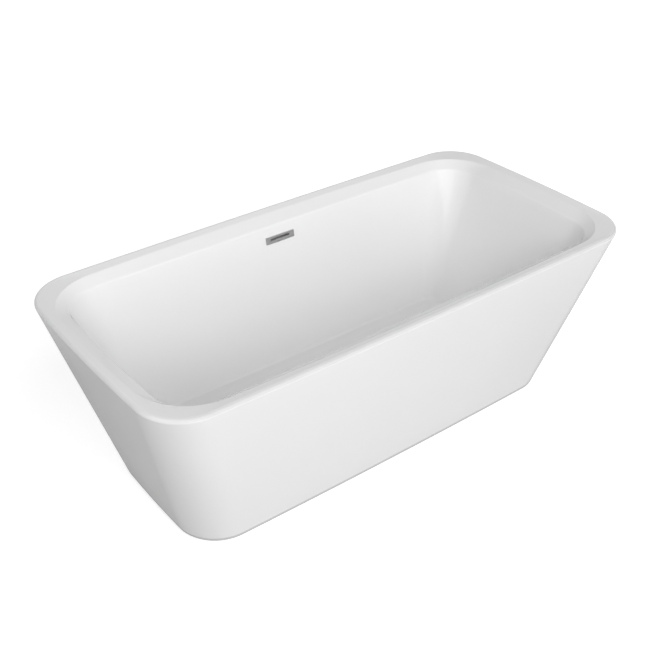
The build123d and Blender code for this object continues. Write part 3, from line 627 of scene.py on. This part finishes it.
def tool_rings(tree, scale, distortion):
    """Rings left by a lathe tool, one above another."""
    return tree.add(
        "ShaderNodeTexWave", {"Vector": own_place(tree), "Scale": scale, "Distortion": distortion},
        wave_type="BANDS", bands_direction="Z",
    ).outputs["Fac"]


def dimmed(tree, colour, factor):
    """A colour times a factor."""
    return tree.add("ShaderNodeVectorMath", {0: colour, "Scale": factor}, operation="SCALE").outputs[0]


def bump(tree, shader, height, strength, distance):
    node = tree.add("ShaderNodeBump", {"Height": height, "Strength": strength, "Distance": distance})
    tree.join(node.outputs[0], shader.inputs["Normal"])


def patterned(name, colour, roughness, metallic, pattern, gloss, tint, relief, ground=None, coat=0.0):
    """A finish whose roughness and colour range and whose relief follow a pattern: its maker and values."""
    material, tree, shader = new_material(name, colour, roughness, metallic, Coat_Weight=coat)
    value = pattern[0](tree, *pattern[1:])
    if gloss:
        tree.join(tree.spread(value, *gloss), shader.inputs["Roughness"])
    if tint:
        tree.join(dimmed(tree, colour, tree.spread(value, *tint)), shader.inputs["Base Color"])
    bump(tree, shader, ground[0](tree, *ground[1:]) if ground else value, *relief)
    return material


# the sine of twice a face's tilt where the painted shade on the rim's rounding is full, and where the ends pass over
# into the long sides
FULL_TURN = 0.45
END_SIDE, LONG_SIDE = 0.35, 0.65
# share of the painted rim shade that the ends get
END_SHADE_SHARE = 0.4
# heights of the painted shadow line at the foot: full below the first, gone above the second
FOOT_SHADE_LEVELS = (0.013, 0.019)


def rim_shade_mask(tree):
    """Where shade is painted on the rim's outer rounding to tone down its highlight: 1 on the long sides, the ends'
    share on the ends, 0 on flat and inner faces.
    """
    where = tree.add("ShaderNodeTexCoord").outputs
    place = tree.add("ShaderNodeSeparateXYZ", {0: where["Object"]}).outputs
    facing = tree.add("ShaderNodeSeparateXYZ", {0: where["Normal"]}).outputs
    outwards = tree.math("GREATER_THAN", tree.math("MULTIPLY", place[1], facing[1]))
    turn = tree.math("MULTIPLY", tree.math("ARCCOSINE", facing[2]), 2.0)
    halfway = tree.spread(tree.math("SINE", turn), 0.0, 1.0, 0.0, FULL_TURN)
    sideways = tree.math("ABSOLUTE", facing[1])
    share = tree.math("DIVIDE", sideways, tree.math("ADD", sideways, tree.math("ABSOLUTE", facing[0])))
    on_side = tree.spread(share, END_SHADE_SHARE, 1.0, END_SIDE, LONG_SIDE)
    return tree.math("MULTIPLY", tree.math("MULTIPLY", halfway, on_side), outwards)


def foot_shade_mask(tree):
    """1 on the outer wall's lowest edge, where a shadow line is painted, and 0 above it."""
    height = tree.add("ShaderNodeSeparateXYZ", {0: own_place(tree)}).outputs[2]
    return tree.spread(height, 1.0, 0.0, *FOOT_SHADE_LEVELS)


def acrylic_material(colours):
    """Gloss white sheet with the faint waviness of vacuum forming, with painted shade on the rim's outer rounding
    that tones down its highlight, and a painted shadow line along the foot.
    """
    material, tree, shader = new_material(ACRYLIC, colours.acrylic, 0.03, IOR=1.49)
    wave = noise(tree, 5.0, 2.0, 0.5)
    tree.join(tree.spread(noise(tree, 60.0, 2.0, 0.5), 0.004, 0.010), shader.inputs["Roughness"])
    # painted shade: darker on the rim's outer rounding and along the foot
    dull = tree.math(
        "MULTIPLY", tree.spread(rim_shade_mask(tree), 1.0, 1.0 - colours.rim_edge_painted_shade),
        tree.spread(foot_shade_mask(tree), 1.0, 1.0 - colours.foot_painted_shade),
    )
    tint = dimmed(tree, colours.acrylic, tree.spread(wave, 0.992, 1.008))
    tree.join(dimmed(tree, tint, dull), shader.inputs["Base Color"])
    bump(tree, shader, wave, 0.02, 0.002)
    return material


FINISHES = {}
MOULD_TINT = (0.93, 1.06)


def finishes():
    """The materials by slot, made once."""
    if FINISHES:
        return FINISHES
    colours = bpy.context.scene.tub_finish
    FINISHES[ACRYLIC] = acrylic_material(colours)
    for row in (
        # polished, a little softer where water has dried
        (CHROME, colours.chrome, 0.2, 1.0, (noise, 90.0), (0.16, 0.26), None, (0.03, 0.0003)),
        # bright plate with a fine drawn grain
        (ZINC, colours.zinc, 0.3, 1.0, (noise, 400.0, 3.0, 0.6, (1.0, 1.0, 0.08)), (0.24, 0.42), (0.86, 1.1),
         (0.08, 0.0002)),
        # hot-dip zinc with its crystals
        ("galvanised_steel", colours.galvanised, 0.45, 1.0, (flakes, 130.0), (0.34, 0.58), (0.82, 1.12),
         (0.06, 0.0002)),
        # plastic and rubber with the fine pebble of their moulds
        (NYLON, colours.nylon, 0.5, 0.0, (noise, 900.0), (0.425, 0.6), MOULD_TINT, (0.25, 0.0003)),
        ("black_rubber", colours.rubber, 0.75, 0.0, (noise, 600.0), (0.6375, 0.9), MOULD_TINT, (0.3, 0.0003)),
        (PIPE, colours.pipe, 0.38, 0.0, (noise, 300.0), (0.323, 0.456), MOULD_TINT, (0.08, 0.0003)),
        # turned on a lathe
        ("brass", colours.brass, 0.28, 1.0, (tool_rings, 900.0, 0.4), (0.2, 0.36), (0.9, 1.05), (0.08, 0.0002)),
        # strand board under a thin coat of resin and glass fibre
        ("reinforcing_board", colours.board, 0.55, 0.0, (flakes, 26.0, "MANHATTAN", (1.0, 3.4, 1.0)), None,
         (0.62, 1.3), (0.35, 0.0006), (noise, 220.0, 4.0, 0.7), 0.25),
        # paste laid by hand
        ("bonding_adhesive", colours.adhesive, 0.6, 0.0, (noise, 45.0, 3.0), None, (0.85, 1.08), (0.5, 0.002)),
    ):
        FINISHES[row[0]] = patterned(*row)
    return FINISHES


def dress(piece, slot, body, *nodes):
    """Puts a finished piece under its body and hides the CAD nodes it replaces; the slot is not used."""
    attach(piece, body)
    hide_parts(*nodes)


def middle(node):
    """Centre of a CAD node's box."""
    return [(low + high) / 2 for low, high in zip(*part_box(node))]


def levels(node, unit_size=1.0):
    """Lowest and highest level of a CAD node."""
    low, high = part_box(node)
    return low.z / unit_size, high.z / unit_size


# ---- the two shells

def basin_section(sizes, rings):
    """Corners of the basin's section: inside from the waste to the rim, and back underneath."""
    at = {name: outline(ring) for name, ring in rings.items()}
    seam = RIM_TOP - sizes.rim_depth
    wall = sizes.wall
    lip_back, band_back, floor_back = (outline(grown(rings[name], wall, wall)) for name in ("lip", "band", "floor"))
    floor_level = rings["floor"].z
    return [
        hole_ring(at["floor"], sizes.drain_hole, floor_level),
        (at["floor"], sizes.floor_edge, 9),
        (at["band"], sizes.band_edge, 6),
        (at["lip"], sizes.lip_edge, 5),
        (at["crest"], CREST_EDGE, 3),
        (at["rim"], sizes.rim_edge, 16),
        between(at["foot"], at["rim"], seam),
        between(band_back, lip_back, seam),
        band_back,
        (floor_back, sizes.floor_edge + wall, 6),
        hole_ring(floor_back, sizes.drain_hole, floor_level - wall),
    ]


def skirt_section(sizes, rings):
    """Corners of the outer wall's section: down outside, along the return and up inside."""
    foot = outline(rings["foot"])
    rim = outline(rings["rim"])
    inner_foot = outline(grown(rings["foot"], -sizes.wall))
    inner_rim = outline(grown(rings["rim"], -sizes.wall))
    mouth = outline(grown(rings["foot"], -sizes.foot_return))
    low = sizes.foot_gap
    high = sizes.foot_gap + sizes.wall
    seam = RIM_TOP - sizes.rim_depth
    lift = np.array([0.0, 0.0, 1.0])
    return [
        between(foot, rim, seam),
        (between(foot, rim, low), sizes.foot_edge, 7),
        mouth + lift * low,
        mouth + lift * high,
        between(inner_foot, inner_rim, high),
        between(inner_foot, inner_rim, seam),
    ]


def overflow_place(sizes):
    """Matrix of the overflow's own axes on the back wall: X along it, Y up it, Z into the basin."""
    rings = shell_rings(sizes)
    band, floor = rings["band"], rings["floor"]
    lean = atan2(band.half_width - floor.half_width, band.z - floor.z)
    z = middle("overflow_cover")[2]
    y = floor.half_width + (z - floor.z) * tan(lean)
    return Matrix.Translation((0, y, z)) @ Matrix.Rotation(pi / 2 - lean, 4, "X")


CUT_REACH = 0.02
POST_HOLE, POST_NUT, POST_BORE = 0.0027, 0.008, 0.0026


class TUB_OT_basin(bpy.types.Operator):
    """Make the rim, sloping band and bathing well in one sheet"""

    bl_idname = "tub.basin"
    bl_label = "Basin"

    def execute(self, context):
        sizes = context.scene.tub_shell
        basin = loft("basin", ACRYLIC, basin_section(sizes, shell_rings(sizes)), SHELL_STEP)
        cover = context.scene.tub_overflow
        mouth, core = (cover.wall_slot_length, cover.wall_slot_height), (0.0002, 0.0002)
        cutters = [loft("cutter", ACRYLIC, [
            slotted(*size, z * CUT_REACH) for size, z in ((mouth, -1), (mouth, 1), (core, 1), (core, -1))
        ])]
        radius, deep = POST_HOLE / MM, CUT_REACH / MM
        for side in (-1, 1):
            hole = turned("hole", ACRYLIC, [(0, -deep), (radius, -deep), (radius, deep), (0, deep)], 24)
            hole.data.transform(Matrix.Translation((side * (cover.length / 2 - cover.post_inset), 0, 0)))
            cutters.append(hole)
        for part in cutters:
            part.data.transform(overflow_place(sizes))
        cut_out(basin, cutters)
        dress(basin, ACRYLIC, "tub", "basin_shell")
        return {"FINISHED"}


class TUB_OT_skirt(bpy.types.Operator):
    """Make the outer wall with its return at the foot"""

    bl_idname = "tub.skirt"
    bl_label = "Outer wall"

    def execute(self, context):
        sizes = context.scene.tub_shell
        skirt = loft("outer_wall", ACRYLIC, skirt_section(sizes, shell_rings(sizes)), SHELL_STEP)
        dress(skirt, ACRYLIC, "tub", "outer_skirt")
        return {"FINISHED"}


def cut_out(piece, cutters):
    """Cut closed shapes out of a piece."""
    for cutter in cutters:
        modifier = piece.modifiers.new("Cut", "BOOLEAN")
        modifier.operation = "DIFFERENCE"
        modifier.solver = "EXACT"
        modifier.object = cutter
    graph = bpy.context.evaluated_depsgraph_get()
    mesh = bpy.data.meshes.new_from_object(piece.evaluated_get(graph))
    mesh.set_sharp_from_angle(angle=CREASE)
    piece.modifiers.clear()
    piece.data = mesh
    for cutter in cutters:
        bpy.data.objects.remove(cutter)


QUARTER_STEPS = 16
PLATE_CORNER, PLATE_EDGE, SLOT_EDGE = 0.0012, 0.0008, 0.0002


def slotted(length, height, z, corner=None):
    """A rectangle with round corners, or a slot with round ends, as a ring round the axis."""
    corner = height / 2 - HAIR if corner is None else corner
    quarters = []
    for cx, cy, start in ((1, 1, 0.0), (-1, 1, pi / 2), (-1, -1, pi), (1, -1, 3 * pi / 2)):
        quarter = polar(corner, start + np.linspace(0, pi / 2, QUARTER_STEPS), z)
        quarters.append(quarter + np.array([cx * (length / 2 - corner), cy * (height / 2 - corner), 0.0]))
    return np.vstack(quarters)[::-1]


class TUB_OT_overflow(bpy.types.Operator):
    """Make the slotted overflow cover on the basin wall"""

    bl_idname = "tub.overflow"
    bl_label = "Overflow cover"

    def execute(self, context):
        sizes = context.scene.tub_overflow
        length, height = sizes.length, sizes.height
        front = sizes.thickness + sizes.seat
        inner = front - sizes.face
        rise = np.array([0.0, sizes.slot_rise, 0.0])
        lead = sizes.slot_lead
        mouth = (sizes.slot_length, sizes.slot_height)
        rim = sizes.rim
        plate = loft("overflow_plate", CHROME, [
            slotted(length, height, sizes.seat, PLATE_CORNER),
            (slotted(length, height, front, PLATE_CORNER), PLATE_EDGE, 4),
            (slotted(mouth[0] + 2 * lead, mouth[1] + 2 * lead, front) + rise, SLOT_EDGE, 2),
            (slotted(*mouth, front - lead) + rise, SLOT_EDGE, 2),
            slotted(*mouth, inner) + rise,
            *(slotted(length - 2 * rim, height - 2 * rim, z, PLATE_CORNER / 2) for z in (inner, sizes.seat)),
        ])
        parts = [plate]
        low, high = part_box("overflow_cover")
        reach = (high.x - low.x) / 2 - sizes.post_inset
        for side in (-1, 1):
            post = threaded("post", CHROME, (sizes.post / 2, *POST_THREAD), -sizes.post_reach, inner)
            post.data.transform(Matrix.Translation((side * reach, 0, 0)))
            parts.append(post)
        cover = joined("overflow_cover_plate", *parts)
        cover.data.transform(overflow_place(context.scene.tub_shell))
        dress(cover, CHROME, "tub", "overflow_cover")
        return {"FINISHED"}


class TUB_OT_waste(bpy.types.Operator):
    """Make the stopper's domed cap"""

    bl_idname = "tub.waste"
    bl_label = "Waste"

    def execute(self, context):
        base = levels("stopper_cap", MM)[0]
        foot = base + 4.0
        cap = turned("waste_cap", CHROME, [
            (0, base), (10, base, 0.4), (10, foot), (32, foot, 0.3), (32, foot + 2.4, 0.5),
            (26, foot + 3.1, 3.0), (13, foot + 4.1), (0, foot + 4.4),
        ], 72)
        dress(cap, CHROME, "stopper", "stopper_cap")
        return {"FINISHED"}


PAD_PROFILE = [
    (0, 0.6), (16, 0.6), (16.6, 0), (25, 0, 0.8), (25, 8, 2.0), (19, 8, 0.4), (18.4, 7.2, 0.4),
    (13.6, 7.2, 0.4), (13, 8, 0.4), (5.05, 8), (5.05, 2.95), (0, 2.95),
]
STUD_HEX, STUD_TOP, STUD_BORE = 0.019, 0.0525, 0.00605
COLLAR_FOOT, COLLAR_TOP, COLLAR_LAP = 0.008, 0.0165, 0.0005


class TUB_OT_feet(bpy.types.Operator):
    """Make the six levelling feet: pad, threaded stud, locknut and insert"""

    bl_idname = "tub.feet"
    bl_label = "Feet"

    def execute(self, context):
        places = [(*middle(f"foot_pad_{number}")[:2], 0.0) for number in range(1, 7)]
        for number, place in enumerate(places, 1):
            pad = turned(f"foot_disc_{number}", NYLON, PAD_PROFILE, 48)
            pad.data.transform(Matrix.Translation(place))
            dress(pad, NYLON, f"foot_{number}", f"foot_pad_{number}")
            collar = loft("collar", ZINC, hex_corners(STUD_HEX, COLLAR_FOOT, COLLAR_TOP, [
                circle(0.0, 0.003), circle(0.0046, 0.003), circle(0.005, 0.0034), circle(0.005, COLLAR_FOOT),
            ], [circle(0.0, COLLAR_TOP)]))
            rod = threaded("rod", ZINC, M12, COLLAR_TOP - COLLAR_LAP, STUD_TOP)
            stud = joined(f"foot_screw_{number}", collar, rod)
            stud.data.transform(Matrix.Translation(place))
            dress(stud, ZINC, f"stud_{number}", f"foot_stud_{number}")
        nut = hex_nut(STUD_HEX, STUD_BORE, *levels("foot_locknuts"))
        repeated("foot_lock_nuts", "foot_locknuts", nut, places)
        foot, top = levels("foot_inserts", MM)
        insert = turned("insert", ZINC, [
            (6.05, foot), (10, foot, 0.5), (10, foot + 2), (8.5, foot + 2), (8.5, top, 0.6), (6.05, top),
        ])
        repeated("foot_rivet_nuts", "foot_inserts", insert, places)
        return {"FINISHED"}


BOLT_HEX, BOLT_HEAD, BOLT_NECK, BOLT_BORE = 0.013, 0.0053, 0.004, 0.0041
SCREW_HEAD = 0.0045
CLIP_SHEET, CLIP_LAP = 0.002, 0.011


def in_pairs(xs, y, z=0.0, turn=0.0):
    """Places on both long sides, turned about X towards or away from the middle."""
    return [(x, side * y, z, side * turn) for x in xs for side in (-1, 1)]


class TUB_OT_fasteners(bpy.types.Operator):
    """Make the frame's bolts, nuts and screws"""

    bl_idname = "tub.fasteners"
    bl_label = "Fasteners"

    def execute(self, context):
        crosses = [middle(f"cross_member_{number}")[0] for number in range(1, 5)]
        rail_y, rail_z = middle("frame_rail_back")[1:]
        low, high = levels("frame_bolts")
        head = low + BOLT_HEAD
        head_part = loft("head", ZINC, hex_corners(BOLT_HEX, low, head, [circle(0.0, low)], [
            circle(M8[0], head), circle(M8[0], head + BOLT_NECK), circle(0.0, head + BOLT_NECK),
        ]))
        bolt = joined("bolt", head_part, threaded("rod", ZINC, M8, head, high))
        at_rails = in_pairs(crosses, rail_y)
        repeated("frame_hex_bolts", "frame_bolts", bolt, at_rails)
        nut = hex_nut(BOLT_HEX, BOLT_BORE, *levels("frame_nuts"))
        repeated("frame_hex_nuts", "frame_nuts", nut, at_rails)

        screw_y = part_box("board_screws")[1].y - SCREW_HEAD
        foot, top = levels("board_screws", MM)
        screw = turned("screw", ZINC, [
            (0, foot + 1.6), (1.6, foot + 1.6), (2.0, foot + 0.2, 0.3), (4.5, foot + 1.6, 0.6),
            (4.5, foot + 3), (2.4, foot + 3), (2.4, top - 2), (0, top),
        ])
        repeated("board_pan_screws", "board_screws", screw, in_pairs(crosses, screw_y))

        clips = [middle(f"skirt_clip_back_{number}")[0] for number in (1, 2)]
        low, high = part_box("skirt_clip_back_1")
        screw = turned("screw", ZINC, [
            (0, 1.3), (1.5, 1.3), (1.9, 2.3, 0.2), (3.2, 2.2, 1.0), (4, 0.6, 0.4), (4, 0), (2, 0), (2, -4.6), (0, -5),
        ])
        places = in_pairs(clips, high.y - CLIP_LAP, low.z + CLIP_SHEET)
        places += in_pairs(clips, low.y + CLIP_SHEET, rail_z, -pi / 2)
        repeated("clip_pan_screws", "clip_screws", screw, places)
        return {"FINISHED"}


NUT_COLUMNS = 96
NUT_WALL, NUT_LIP, NUT_THREAD, NUT_STEP = 0.00205, 0.003, 0.006, 0.0002


def ribbed(radius, z, depth=0.0009, ribs=16):
    """A ring with shallow grips round it."""
    turns = clockwise(NUT_COLUMNS)
    return polar(radius - depth * (0.5 - 0.5 * np.cos(ribs * turns)) ** 0.6, turns, z)


def on_axis(node, axis):
    """Where a round CAD node sits along an axis: the matrix of its wide end, its length and its radii."""
    points = np.array([vertex.co for vertex in frame["nodes"][node].data.vertices])
    axis = np.array(axis) / np.linalg.norm(axis)
    side = np.cross(axis, (1.0, 0.0, 0.0))
    side /= np.linalg.norm(side)
    across = np.cross(side, axis)
    along = points @ axis
    flat = np.column_stack([points @ side, points @ across])
    core = (flat.min(axis=0) + flat.max(axis=0)) / 2
    radius = np.linalg.norm(flat - core, axis=1)
    if along[radius.argmin()] < (along.min() + along.max()) / 2:
        return on_axis(node, -axis)
    turn = Vector(axis).to_track_quat("Z", "Y").to_matrix().to_4x4()
    origin = Vector(side * core[0] + across * core[1] + axis * along.min())
    return Matrix.Translation(origin) @ turn, along.max() - along.min(), radius.max(), radius.min()


class TUB_OT_pipe_nuts(bpy.types.Operator):
    """Make the ribbed union nuts of the pipes and the nuts of the overflow cover"""

    bl_idname = "tub.pipe_nuts"
    bl_label = "Union nuts"

    def execute(self, context):
        cover_place = overflow_place(context.scene.tub_shell)
        wall = cover_place.to_3x3().col[1]
        axes = {
            "overflow_union_nut": wall, "elbow_top_nut": wall, "elbow_link_nut": (0, 1, 0),
            "drain_link_nut": (0, 1, 0), "tailpiece_nut": (0, 0, 1),
        }
        for node, axis in axes.items():
            place, length, outer, bore = on_axis(node, axis)
            socket = outer - NUT_WALL
            lip, narrow = length - NUT_LIP, socket - NUT_STEP
            inside = [(bore, length), (bore, lip), (narrow, lip), (narrow, NUT_THREAD), (socket, NUT_THREAD)]
            nut = loft("grip_" + node, PIPE, [
                circle(socket, 0.0, NUT_COLUMNS), ribbed(outer - 0.0006, 0.0, 0.0003), ribbed(outer, 0.0008),
                ribbed(outer, length - 0.002), ribbed(outer - 0.0016, length, 0.0),
                *(circle(radius, z, NUT_COLUMNS) for radius, z in inside),
            ])
            nut.data.transform(place)
            dress(nut, PIPE, "tub", node)
        cover = context.scene.tub_overflow
        low = -cover.post_reach + cover.post / 2
        nut = hex_nut(POST_NUT, POST_BORE, low, low + POST_NUT / 2)
        reach = cover.length / 2 - cover.post_inset
        places = [(-reach, 0.0, 0.0), (reach, 0.0, 0.0)]
        repeated("overflow_hex_nuts", "overflow_nuts", nut, places, cover_place)
        return {"FINISHED"}


class TUB_OT_finish(bpy.types.Operator):
    """Give every part of the frame its finish"""

    bl_idname = "tub.finish"
    bl_label = "Finishes"

    def execute(self, context):
        materials = finishes()
        for part in frame["record"]["subparts"]:
            node = frame["nodes"][part["node"]]
            node.data.materials.clear()
            node.data.materials.append(materials[part["material_slot"]])
        return {"FINISHED"}


# ---- studio

FLOOR_FADE = (1.0, 3.0)
FLOOR_GLOW = (0.72, 0.15)  # under the tub, as seen and as mirrored
FLOOR_REACH = 40.0


def rays(tree):
    """Whether a ray comes from the camera, and whether it was mirrored or let through."""
    path = tree.add("ShaderNodeLightPath").outputs
    return path["Is Camera Ray"], tree.math("MAXIMUM", path["Is Glossy Ray"], path["Is Transmission Ray"])


def floor_material():
    """Pale floor that takes the tub's shadow and goes over into a white background."""
    material, tree, shader = new_material("studio_floor", (0.5, 0.5, 0.5), 0.9, Specular_IOR_Level=0.0)
    where = tree.add("ShaderNodeTexCoord").outputs["Object"]
    reach = tree.add("ShaderNodeVectorMath", {0: where}, operation="LENGTH").outputs["Value"]
    shares = [
        tree.math("MULTIPLY", seen, tree.spread(reach, under, 1.0, *FLOOR_FADE))
        for seen, under in zip(rays(tree), FLOOR_GLOW)
    ]
    glow = tree.add("ShaderNodeEmission", {"Strength": tree.math("ADD", *shares)})
    both = tree.add("ShaderNodeAddShader", {0: shader.outputs[0], 1: glow.outputs[0]})
    tree.join(both.outputs[0], material.node_tree.nodes["Material Output"].inputs["Surface"])
    return material


# name, place, aim, size and power; key_mirror only shows as a reflection
LAMPS = [
    ("key_mirror", (-1.77, -4.73, 1.45), (-0.07, -0.06, 1.35), (7.0, 1.7), 44.0, False, True),
    ("front_low", (0.2, -5.0, 1.45), (0.0, 0.0, 1.35), (7.0, 1.7), 60.0),
    ("key_high", (-1.77, -4.73, 3.4), (-0.07, -0.06, 1.2), (7.0, 2.0), 128.0),
    ("front_mid", (0.2, -5.0, 3.4), (0.0, 0.0, 1.2), (7.0, 2.0), 18.0),
    ("front_high", (-0.6, -3.6, 4.4), (0.0, 0.0, 0.3), (3.6, 2.2), 89.0),
    ("left_high", (-4.4, 0.4, 3.2), (0.0, 0.0, 0.3), (2.6, 2.0), 23.0),
    ("left_low", (-4.6, -1.6, 1.2), (0.0, 0.0, 0.5), (3.0, 1.6), 16.0),
    ("right_high", (3.0, -3.4, 3.2), (0.0, 0.0, 0.4), (3.0, 2.0), 16.0),
    ("back_low", (1.2, 4.8, 1.1), (0.0, 0.0, 0.9), (6.0, 1.4), 54.0),
]


def soft_box(name, place, aim, size, power, lights=True, mirrored=False):
    """A lamp that lights surfaces, or is seen mirrored in them."""
    lamp = bpy.data.lights.new(name, "AREA")
    lamp.shape = "RECTANGLE"
    lamp.size, lamp.size_y = size
    lamp.energy = power
    holder = link(name, lamp)
    holder.location = place
    holder.rotation_euler = (Vector(aim) - Vector(place)).to_track_quat("-Z", "Y").to_euler()
    holder.visible_camera = False
    holder.visible_diffuse = lights
    holder.visible_glossy = mirrored


class TUB_OT_studio(bpy.types.Operator):
    """Make the floor, lamps and camera"""

    bl_idname = "tub.studio"
    bl_label = "Studio"

    def execute(self, context):
        studio = context.scene.tub_studio
        mesh = bpy.data.meshes.new("studio_floor")
        corners = [(x * FLOOR_REACH, y * FLOOR_REACH, 0.0) for x, y in ((-1, -1), (1, -1), (1, 1), (-1, 1))]
        mesh.from_pydata(corners, [], [(0, 1, 2, 3)])
        mesh.materials.append(floor_material())
        link("studio_floor", mesh)

        world = bpy.data.worlds.new("studio_air")
        context.scene.world = world
        world.use_nodes = True
        tree = Tree(world.node_tree)
        air = world.node_tree.nodes["Background"]
        tree.join(tree.spread(tree.math("MAXIMUM", *rays(tree)), studio.sky, 1.0), air.inputs["Strength"])
        air.inputs["Color"].default_value = (1.0, 1.0, 1.0, 1.0)

        for row in LAMPS:
            soft_box(*row)

        lens = bpy.data.cameras.new("camera")
        lens.lens = studio.lens
        lens.sensor_width = 36.0
        camera = link("camera", lens)
        camera.location = studio.place
        camera.rotation_euler = (pi / 2 - studio.dip, 0.0, -studio.turn)
        context.scene.camera = camera
        context.scene.view_settings.view_transform = "Standard"
        return {"FINISHED"}


class TUB_PT_panel(bpy.types.Panel):
    """Buttons for the tub's pieces and the studio"""

    bl_idname = "TUB_PT_panel"
    bl_label = "Bathtub"
    bl_space_type = "VIEW_3D"
    bl_region_type = "UI"
    bl_category = "Bathtub"

    def draw(self, context):
        for operator in OPERATORS:
            self.layout.operator(operator.bl_idname)
        for settings in (getattr(context.scene, name) for name in SETTINGS):
            column = self.layout.column()
            for name in settings.__annotations__:
                column.prop(settings, name)


SETTINGS = {
    "tub_shell": TubShellSettings, "tub_overflow": TubOverflowSettings,
    "tub_finish": TubFinishSettings, "tub_studio": TubStudioSettings,
}
OPERATORS = [
    TUB_OT_finish, TUB_OT_basin, TUB_OT_skirt, TUB_OT_overflow, TUB_OT_waste, TUB_OT_feet, TUB_OT_fasteners,
    TUB_OT_pipe_nuts, TUB_OT_studio,
]
CLASSES = [*SETTINGS.values(), *OPERATORS, TUB_PT_panel]


def register():
    for kind in CLASSES:
        bpy.utils.register_class(kind)
    for name, settings in SETTINGS.items():
        setattr(bpy.types.Scene, name, bpy.props.PointerProperty(type=settings))


def unregister():
    for name in SETTINGS:
        delattr(bpy.types.Scene, name)
    for kind in reversed(CLASSES):
        bpy.utils.unregister_class(kind)


def main():
    register()
    for operator in OPERATORS:
        getattr(bpy.ops.tub, operator.bl_idname.split(".")[1])()


if __name__ == "__main__":
    main()
